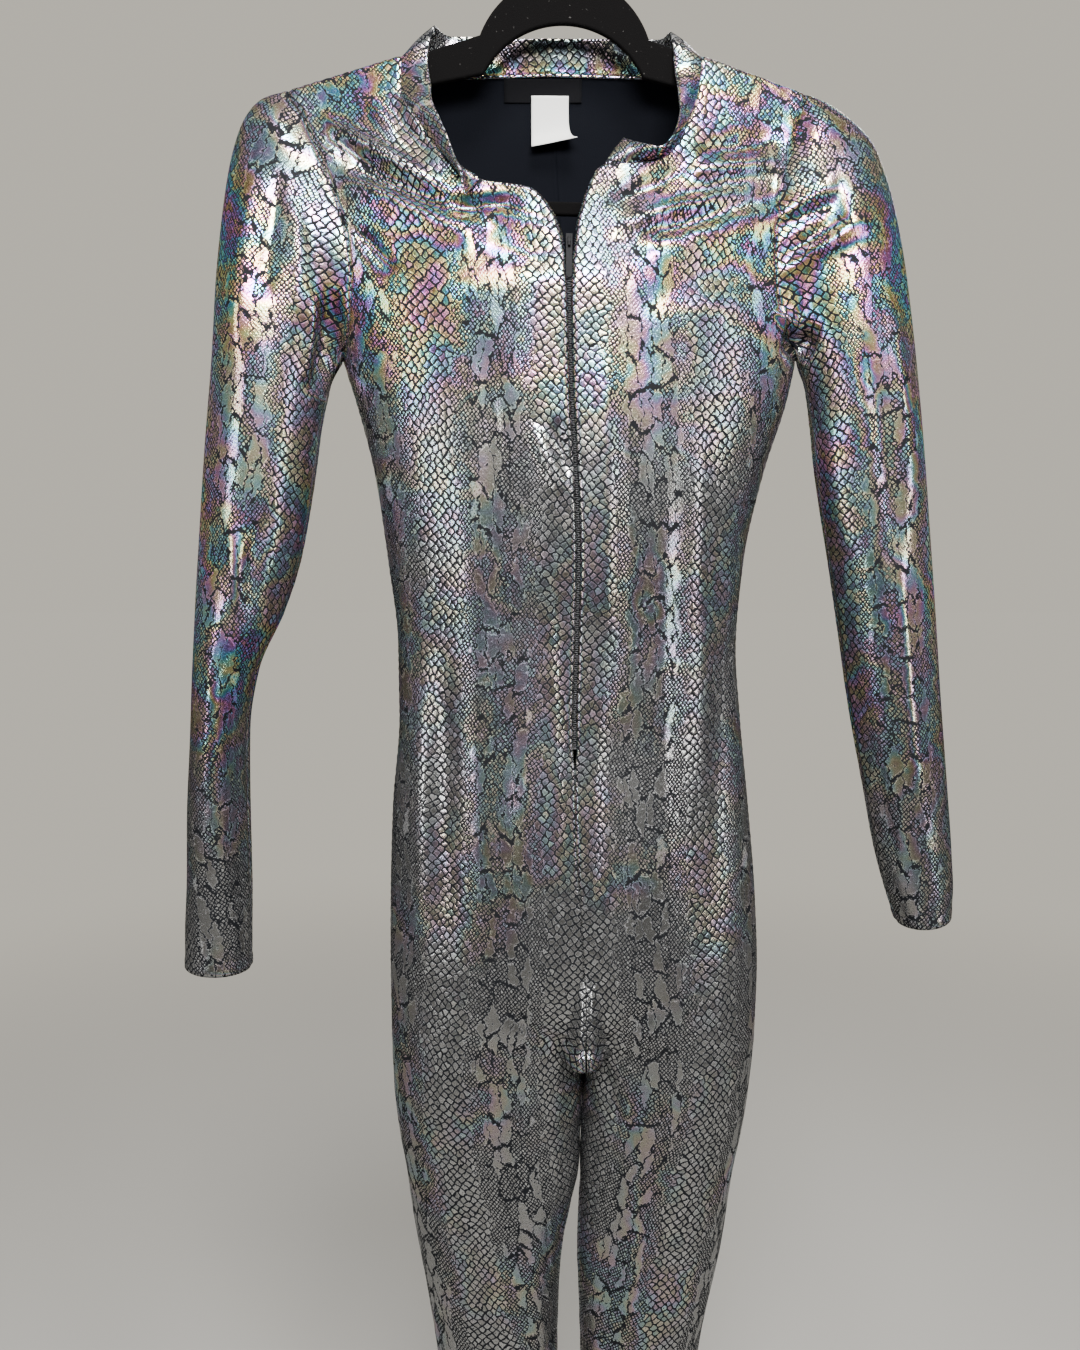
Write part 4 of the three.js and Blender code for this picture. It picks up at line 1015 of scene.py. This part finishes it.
def collar_half(face, side):
    near, seam = body_cloth[f"{face}_{side}"]["points"][:NECK_ROWS, -2:].transpose(1, 0, 2)
    rims = np.stack(list(COLLAR_RIMS[face, side].values()), -1)
    rise = column(np.arange(len(rims)), rims, np.linspace(0, len(rims) - 1, NECK_ROWS))
    return np.stack([seam, unit(seam - near), rise])


def tube_faces(count, around):
    """Faces between closed rings, each of as many points, and over both ends."""
    index = np.arange(count * around).reshape(count, around)
    turned = np.roll(index, -1, axis=1)
    walls = np.stack([index[:-1], turned[:-1], turned[1:], index[1:]], -1).reshape(-1, 4)
    return [*walls.tolist(), index[0, ::-1].tolist(), index[-1].tolist()]


# From the right front round the back of the neck to the left front
seam, away, rise = np.concatenate([
    collar_half("front", "right")[:, ::-1], collar_half("back", "right")[:, 1:],
    collar_half("back", "left")[:, :-1][:, ::-1], collar_half("front", "left")[:, 1:]], axis=1)
up = np.linspace(0, 1, COLLAR_ROWS)[:, None, None]
stand = seam - away * COLLAR_TUCK * np.maximum(0, 1 - 5 * up) + rise * up
band = {"points": stand, "flip": True}
shared_normals([band])
out = band["normals"]
tall = np.linalg.norm(rise, axis=-1)[None, :, None]
along = walked(seam, 0)[None, :, None]
dents = COLLAR_DENTS * np.sin(along * DENT_WAVE + DENT_SWAY * np.sin(along * DENT_SWAY_WAVE))
bulge = (COLLAR_BOW + dents) * np.sin(math.pi * up)
stand = stand + out * (bulge - COLLAR_GROOVE * hump(up * tall, COLLAR_WALL))
half_wall = COLLAR_WALL / 2
middle = stand - out * half_wall
upward = unit(stand[-1] - stand[-2])
turn = np.linspace(0, math.pi, RIM_STEPS)[1:-1, None, None]


def both_faces(lines, over_rim, inner):
    """Lines up the outer face of the collar, over its rim and down the inner face."""
    return np.concatenate([lines, over_rim, inner[::-1]])


rim_core = middle[-1:].repeat(len(turn), 0)
core = both_faces(middle, rim_core, middle)
half = both_faces(out, out[-1] * np.cos(turn) + upward * np.sin(turn), -out) * half_wall
rings = (core + half).transpose(1, 0, 2)
for end, beside in ((0, 1), (-1, -2)):
    outward = middle[:, end] - middle[:, beside]
    outward = unit(both_faces(outward, outward[-1:].repeat(len(turn), 0), outward)) * half_wall
    for angle in END_ANGLES:
        ring = core[:, end] + half[:, end] * math.cos(angle) + outward * math.sin(angle)
        rings = np.insert(rings, 0 if end == 0 else len(rings), ring, axis=0)
through, around = walked(rings, 0), walked(rings, 1)
through -= through[len(rings) // 2]
spread = np.stack([through, around], -1)
collar = smooth_piece("cloth_collar", rings, tube_faces(*rings.shape[:2]), [foil], spread)
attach(collar, "garment")
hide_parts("collar")

# The zip: a woven tape sewn behind each front edge, with a nylon coil along it. The coils are
# hooked together below the slider and stand apart above it.
TAPE_IN, TAPE_WALL, TAPE_FROM, TAPE_TO = 1.5, 0.7, 1.7, 12
COIL_STEP, COIL_WIDE, COIL_THICK, COIL_TALL, COIL_END, COIL_IN = 1.5, 2.6, 1.2, 0.95, 0.4, 2
CHAIN_SLANT, LOOSE_SLANT = 0.16, 0.1
CHAIN_UNDER_SLIDER, COIL_OVER_SLIDER, COIL_ASIDE = 7, 6, 0.3

# Fine ribs of woven stuff, up along the piece unless the position is turned
tree, given, result = new_group(
    "Woven ribs", {"Position": "Vector", "Scale": "Float", "Unevenness": "Float"},
    {"Height": "Float"})
inputs = {"Vector": given["Position"], "Scale": given["Scale"], "Distortion": given["Unevenness"]}
ribs = add_node(tree, "ShaderNodeTexWave", inputs, bands_direction="Z")
tree.links.new(ribs.outputs["Fac"], result["Height"])
woven_ribs = tree


def ribbed(name, colour, roughness, scale, unevenness, strength, deep, turned=0):
    """A matt woven stuff, with its ribs turned away from the level by an angle."""
    finish, tree, surface = new_finish(name)
    place = add_node(
        tree, "ShaderNodeMapping", {"Vector": in_piece(tree), "Rotation": (0, turned, 0)})
    ribs = add_node(tree, "ShaderNodeGroup", node_tree=woven_ribs)
    set_sockets(tree, ribs.inputs, {
        "Position": place.outputs[0], "Scale": scale, "Unevenness": unevenness})
    set_sockets(tree, surface, {
        "Base Color": colour, "Roughness": roughness,
        "Normal": bumped(tree, ribs.outputs["Height"], strength, deep)})
    return finish, surface


# Handled metal and plastic is smudged, which shows as patches in how glossy it is
tree, given, result = new_group(
    "Smudged", {"Position": "Vector", "Scale": "Float", "Detail": "Float", "Least": "Float",
                "Range": "Float"}, {"Roughness": "Float"})
smudges = noise(tree, given["Position"], given["Scale"], given["Detail"])
tree.links.new(
    maths(tree, "MULTIPLY_ADD", smudges, given["Range"], given["Least"]), result["Roughness"])
smudged = tree


def smudged_roughness(tree, scale, detail, least, spread):
    made = add_node(tree, "ShaderNodeGroup", node_tree=smudged)
    set_sockets(tree, made.inputs, {
        "Position": in_piece(tree), "Scale": scale, "Detail": detail, "Least": least,
        "Range": spread})
    return made.outputs["Roughness"]


BLACK_YARN = (0.004, 0.004, 0.005, 1)
tape_cloth, surface = ribbed("Black woven zip tape", BLACK_YARN, 0.85, 900, 1.5, 0.4, 0.0003)
surface["Specular IOR Level"].default_value = 0.08
nylon, tree, surface = new_finish("Black nylon coil")
set_sockets(tree, surface, {
    "Base Color": (0.014, 0.014, 0.016, 1),
    "Roughness": smudged_roughness(tree, 400, 2, 0.28, 0.2)})


def front_edge(side, distances, depth):
    """Lines behind a front's zipped edge, at distances in from it, as points and normals."""
    grid = body_cloth[f"front_{side}"]
    rows = np.nonzero(grid["points"][:, -1, 2] > ZIP_END_Z)[0]
    rows = rows[rows >= NECK_ROWS - 1]
    points, normals = grid["points"][rows][:, ::-1], grid["normals"][rows][:, ::-1]
    lines = np.empty((len(rows), len(distances), 6))
    both = np.concatenate([points, normals], -1)
    for line, row, gone in zip(lines, both, walked(points, 1)):
        for part in range(6):
            line[:, part] = np.interp(distances, gone, row[:, part])
    return lines[..., :3] - lines[..., 3:] * depth, lines[..., 3:]


for side in SIDES:
    points, normals = front_edge(side, np.linspace(TAPE_TO, TAPE_FROM, 7), TAPE_IN)
    tape = {
        "points": points, "print": points[..., ::2], "flip": side == "right", "normals": normals}
    piece = cloth_piece(f"tape_{side}", tape, TAPE_WALL, [tape_cloth, tape_cloth])
    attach(piece, "garment")
    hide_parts(f"zip_tape_{side}")


def coil_bars(name, middles, wide, slants):
    """Joined little bars of a coil, each across the zip at its own place."""
    x = np.array([-wide / 2, COIL_END - wide / 2, wide / 2 - COIL_END, wide / 2])[:, None]
    slim = np.array([0.55, 1, 1, 0.55])[:, None]
    angle = np.arange(6) * math.pi / 3
    y, z = slim * np.cos(angle) * COIL_THICK / 2, slim * np.sin(angle) * COIL_TALL / 2
    bars = [middle + np.stack([x + 0 * y, y, z + slant * x], -1)
            for middle, slant in zip(middles, slants)]
    faces = [[start + k for k in face]
             for start in range(0, 24 * len(bars), 24) for face in tube_faces(4, 6)]
    piece = smooth_piece(name, bars, faces, [nylon])
    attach(piece, "garment")
    return piece


def at_heights(points, heights):
    return np.stack([np.interp(-heights, -points[:, 2], part) for part in points.T], -1)


edges = {side: front_edge(side, np.array([TAPE_FROM]), COIL_IN)[0][:, 0] for side in SIDES}
closed = np.arange(SLIDER_Z - CHAIN_UNDER_SLIDER, ZIP_END_Z, -COIL_STEP)
meeting = (at_heights(edges["right"], closed) + at_heights(edges["left"], closed)) / 2
chain = coil_bars(
    "zip_coil", meeting, 2 * COIL_WIDE - COIL_END, CHAIN_SLANT * (-1) ** np.arange(len(closed)))
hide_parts("zip_chain")
for side, sign in SIDES.items():
    heights = np.arange(
        edges[side][0, 2] - COIL_STEP, SLIDER_Z + COIL_OVER_SLIDER, -COIL_STEP)
    loose = at_heights(edges[side], heights) - (sign * COIL_ASIDE, 0, 0)
    coil_bars(f"zip_coil_{side}", loose, COIL_WIDE, -sign * np.full(len(loose), LOOSE_SLANT))

enamel, tree, surface = new_finish("Black enamelled zip metal")
set_sockets(tree, surface, {
    "Base Color": (0.008, 0.008, 0.009, 1), "Specular IOR Level": 0.07,
    "Roughness": smudged_roughness(tree, 700, 3, 0.38, 0.2),
    "Normal": add_node(tree, "ShaderNodeBevel", {"Radius": 0.00035}, samples=4).outputs["Normal"]})
for name in ("zip_slider", "zip_pull"):
    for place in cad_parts[name].material_slots:
        place.material = enamel

# The neck label is a bare woven strip, and the care tag a bare satin ribbon under it whose free
# end curls forward. Both are sewn into the neck seam at the back.
label_cloth, surface = ribbed(
    "Black woven label", BLACK_YARN, 0.8, 620, 1, 0.5, 0.0003, turned=math.pi / 2)
surface["Specular IOR Level"].default_value = 0.1
satin, surface = ribbed(
    "White satin ribbon", (0.80, 0.79, 0.75, 1), 0.5, 700, 0.6, 0.25, 0.0002)
surface["Sheen Weight"].default_value = 0.2
STRIPS = {
    "neck_label": (label_cloth, "label", dict(
        start=-44, end=10, top=-118, bottom=-132, off=0.8, wall=0.8, curl=0, skew=0)),
    "care_tag": (satin, "tag", dict(
        start=-25, end=1, top=-128, bottom=-161, off=2, wall=0.5, curl=10, skew=6)),
}
STRIP_ROWS, STRIP_ACROSS, STRIP_GAP, STRIP_WAVE = 25, 19, 0.4, 0.25

for node, (material, slot, cut) in STRIPS.items():
    down, across = np.meshgrid(
        np.linspace(0, 1, STRIP_ROWS), np.linspace(0, 1, STRIP_ACROSS), indexing="ij")
    wide, tall = cut["end"] - cut["start"], cut["top"] - cut["bottom"]
    x = cut["start"] + (wide + cut["skew"] * down**5) * across
    z = cut["top"] - tall * down + cut["skew"] * 0.8 * down**4 * across
    lift = cut["curl"] * down**6 * (0.6 + 0.4 * across) + STRIP_WAVE * np.sin(across * 5 + down * 3)
    y = yoke_depth("right", "back", x, z) - CLOTH - STRIP_GAP - cut["off"] - lift
    sheet = {"points": np.stack([x, y, z], -1), "print": np.stack([x, -z], -1), "flip": True}
    shared_normals([sheet])
    piece = cloth_piece(f"strip_{node}", sheet, cut["wall"], [material, material])
    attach(piece, "garment")
    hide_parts(node)

# The hanger: a slim plastic moulding with black flocking, an arch over two sloping arms closed
# below by a bar. The garment's shoulders lie on the arms, and the neck seam stands round the arch.
HANGER_THICK, HANGER_ROUND = 5.5, 1.6
ARCH_RADIUS, ARCH_TOP_Z, ARCH_INNER_Z = 61, -60, -91
ARM_HEIGHT, ARM_TIP_HEIGHT, BAR_Z, BAR_HEIGHT, BAR_HALF = 19, 14, -209, 9, 146


def arc(radius, middle_z, start, end, steps=24):
    angles = np.linspace(start, end, steps)
    return [(radius * math.cos(a), middle_z + radius * math.sin(a)) for a in angles]


def bend(a, corner, b, steps=8):
    """A quadratic bend from a to b, drawn towards a corner."""
    a, corner, b = (np.array(p, float) for p in (a, corner, b))
    share = np.linspace(0, 1, steps)[:, None]
    line = (1 - share) ** 2 * a + 2 * share * (1 - share) * corner + share**2 * b
    return [tuple(point) for point in line]


def under_arm(out):
    share = (out - ARCH_BASE) / (HALF_SPAN - ARCH_BASE)
    return arm_top(out) - ARM_HEIGHT - (ARM_TIP_HEIGHT - ARM_HEIGHT) * share


bar_bottom, bar_top = BAR_Z - BAR_HEIGHT / 2, BAR_Z + BAR_HEIGHT / 2
base_angle = math.acos(ARCH_BASE / ARCH_RADIUS)
inner_angle = math.acos((ARCH_BASE - 3) / ARCH_RADIUS)
shoulder, tip = HALF_SPAN - 12, (HALF_SPAN, arm_top(HALF_SPAN) - 13)
outer_half = [
    *arc(ARCH_RADIUS, ARCH_TOP_Z - ARCH_RADIUS, math.pi / 2, base_angle),
    *bend((shoulder, arm_top(shoulder)), (HALF_SPAN, arm_top(HALF_SPAN)), tip),
    *bend(tip, (HALF_SPAN - 6, bar_bottom), (BAR_HALF, bar_bottom))[1:],
]
shoulder, corner = HALF_SPAN - 30, HALF_SPAN - 20
tip = (HALF_SPAN - 19, under_arm(HALF_SPAN) - 8)
inner_half = [
    *arc(ARCH_RADIUS, ARCH_INNER_Z - ARCH_RADIUS, math.pi / 2, inner_angle),
    *bend((shoulder, under_arm(shoulder)), (corner, under_arm(corner)), tip),
    *bend(tip, (HALF_SPAN - 22, bar_top), (BAR_HALF - 4, bar_top))[1:],
]


def drawn_mesh(curve):
    """The mesh of a curve, smooth as the curve is."""
    drawn = placed("drawn", curve)
    bpy.context.view_layer.update()
    seen = drawn.evaluated_get(bpy.context.evaluated_depsgraph_get())
    mesh = bpy.data.meshes.new_from_object(seen)
    bpy.data.objects.remove(drawn)
    return mesh


# The plate is drawn lying down, in metres, and stood up in the plane of the hanger
shape = bpy.data.curves.new("plate", "CURVE")
shape.dimensions = "2D"
shape.fill_mode = "BOTH"
shape.extrude = (HANGER_THICK / 2 - HANGER_ROUND) / 1000
shape.bevel_depth = HANGER_ROUND / 1000
shape.offset = -HANGER_ROUND / 1000
shape.bevel_resolution = 3
for half_outline in (outer_half, inner_half):
    outline = [(-x, z) for x, z in reversed(half_outline)] + half_outline
    spline = shape.splines.new("POLY")
    spline.points.add(len(outline) - 1)
    for point, (x, z) in zip(spline.points, outline):
        point.co = (x / 1000, z / 1000, 0, 1)
    spline.use_cyclic_u = True
plate_mesh = drawn_mesh(shape)
plate_mesh.transform(Matrix.Rotation(TILT, 4, "Y") @ Matrix.Rotation(math.pi / 2, 4, "X"))
plate_mesh.polygons.foreach_set("use_smooth", np.ones(len(plate_mesh.polygons), bool))

flock, tree, surface = new_finish("Black flock")
place = in_piece(tree)
lint = step_up(tree, noise(tree, place, 420, 1), 0.72, 0.78)
FLOCK_BLACK, LINT = (0.0035, 0.0032, 0.0032, 1), (0.05, 0.048, 0.045, 1)
set_sockets(tree, surface, {
    "Base Color": mixed_colour(tree, lint, FLOCK_BLACK, LINT),
    "Roughness": 0.95, "Specular IOR Level": 0.05,
    "Sheen Weight": 0.05, "Sheen Roughness": 0.4, "Sheen Tint": (0.30, 0.28, 0.27, 1),
    "Normal": bumped(tree, noise(tree, place, 1600, 2), 0.6, 0.0005)})
plate = placed("flocked_hanger", plate_mesh)
plate_mesh.materials.append(flock)
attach(plate, "garment")
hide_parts("hanger")

# The hook: a chromed wire set in the top of the arch, up and round in an open ring
WIRE, HOOK_INNER = 3.5, 20
hook_radius, hook_top = HOOK_INNER + WIRE / 2, WIRE / 2
route = [(0, ARCH_TOP_Z + 0.3), (0, ARCH_TOP_Z + 8), (5, hook_top - 2 * hook_radius + 2)]
for angle in np.radians(np.arange(-60, 196, 17)):
    route.append((hook_radius * math.cos(angle),
                  hook_top - hook_radius + hook_radius * math.sin(angle)))
wire = bpy.data.curves.new("hook_wire", "CURVE")
wire.dimensions = "3D"
wire.bevel_depth = WIRE / 2000
wire.bevel_resolution = 4
wire.resolution_u = 6
wire.use_fill_caps = True
spline = wire.splines.new("NURBS")
spline.points.add(len(route) - 1)
for point, (x, z) in zip(spline.points, route):
    x, z = tilted(x, z)
    point.co = (x / 1000, 0, z / 1000, 1)
spline.order_u = 3
spline.use_endpoint_u = True
chrome, tree, surface = new_finish("Chromed wire")
set_sockets(tree, surface, {
    "Base Color": (0.75, 0.76, 0.78, 1), "Metallic": 1,
    "Roughness": smudged_roughness(tree, 160, 3, 0.07, 0.14)})
hook = placed("chromed_hook", drawn_mesh(wire))
hook.data.materials.append(chrome)
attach(hook, "garment")
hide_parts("hook")

# The room: a pale floor and walls, which the foil mirrors darker than the camera sees them, and
# large soft lamps above and in front
FLOOR_Z = -1.62
WALL_COLOUR = (0.60, 0.565, 0.49, 1)
FLOOR_SEEN, FLOOR_MIRRORED = (0.52, 0.50, 0.46, 1), (0.21, 0.204, 0.19, 1)
FADE_FROM, FADE_TO = 1.7, 3.4
floor_mesh = bpy.data.meshes.new("floor")
corners = [(-12, -12, FLOOR_Z), (12, -12, FLOOR_Z), (12, 12, FLOOR_Z), (-12, 12, FLOOR_Z)]
floor_mesh.from_pydata(corners, [], [(0, 1, 2, 3)])
floor = placed("floor", floor_mesh)
paint, tree, surface = new_finish("Pale floor")
far = add_node(tree, "ShaderNodeVectorMath", {0: in_piece(tree)}, operation="LENGTH")
seen = add_node(tree, "ShaderNodeLightPath").outputs["Is Camera Ray"]
far = maths(tree, "MULTIPLY", step_up(tree, far.outputs["Value"], FADE_FROM, FADE_TO), seen)
near = mixed_colour(tree, seen, FLOOR_MIRRORED, FLOOR_SEEN)
set_sockets(tree, surface, {
    "Base Color": mixed_colour(tree, far, near, (0, 0, 0, 1)),
    "Roughness": 0.9, "Specular IOR Level": 0.1,
    "Emission Color": WALL_COLOUR, "Emission Strength": far})
floor_mesh.materials.append(paint)

world = bpy.data.worlds.new("room")
world.use_nodes = True
bpy.context.scene.world = world
tree = world.node_tree
way = add_node(tree, "ShaderNodeTexCoord").outputs["Generated"]
up = add_node(tree, "ShaderNodeSeparateXYZ", {0: way}).outputs[2]
BRIGHTNESS = table("at red green blue", """
    0 0.09 0.09 0.0864
    0.40 0.17 0.17 0.1632
    0.50 0.25 0.25 0.24
    0.60 0.24 0.24 0.2304
    0.70 0.14 0.14 0.1344
    0.80 0.10 0.10 0.096
    1 0.22 0.22 0.2112""")
room_light = colour_ramp(tree, maths(tree, "MULTIPLY_ADD", up, 0.5, 0.5), BRIGHTNESS)
seen = add_node(tree, "ShaderNodeLightPath").outputs["Is Camera Ray"]
lit = mixed_colour(tree, seen, room_light, WALL_COLOUR)
tree.links.new(lit, tree.nodes["Background"].inputs["Color"])

LAMPS = table("x y z wide tall power", """
    0.15 -1.0 1.15 0.6 0.35 42
    0.12 -1.5 0.42 1.0 0.4 66
    -1.2 -1.2 -0.35 0.14 1.2 7
    1.3 -1.15 -0.3 0.14 1.2 6.5
    0.5 1.7 0.8 1.2 1.2 34""")
AIMED_AT = Vector((0, 0, -0.35))
for number, (*place, wide, tall, power) in enumerate(zip(*LAMPS.values())):
    lamp = bpy.data.lights.new(f"lamp_{number}", "AREA")
    lamp.shape = "RECTANGLE"
    lamp.size, lamp.size_y = wide, tall
    lamp.energy = power
    light = placed(f"lamp_{number}", lamp)
    light.location = place
    light.rotation_euler = (AIMED_AT - light.location).to_track_quat("-Z", "Y").to_euler()
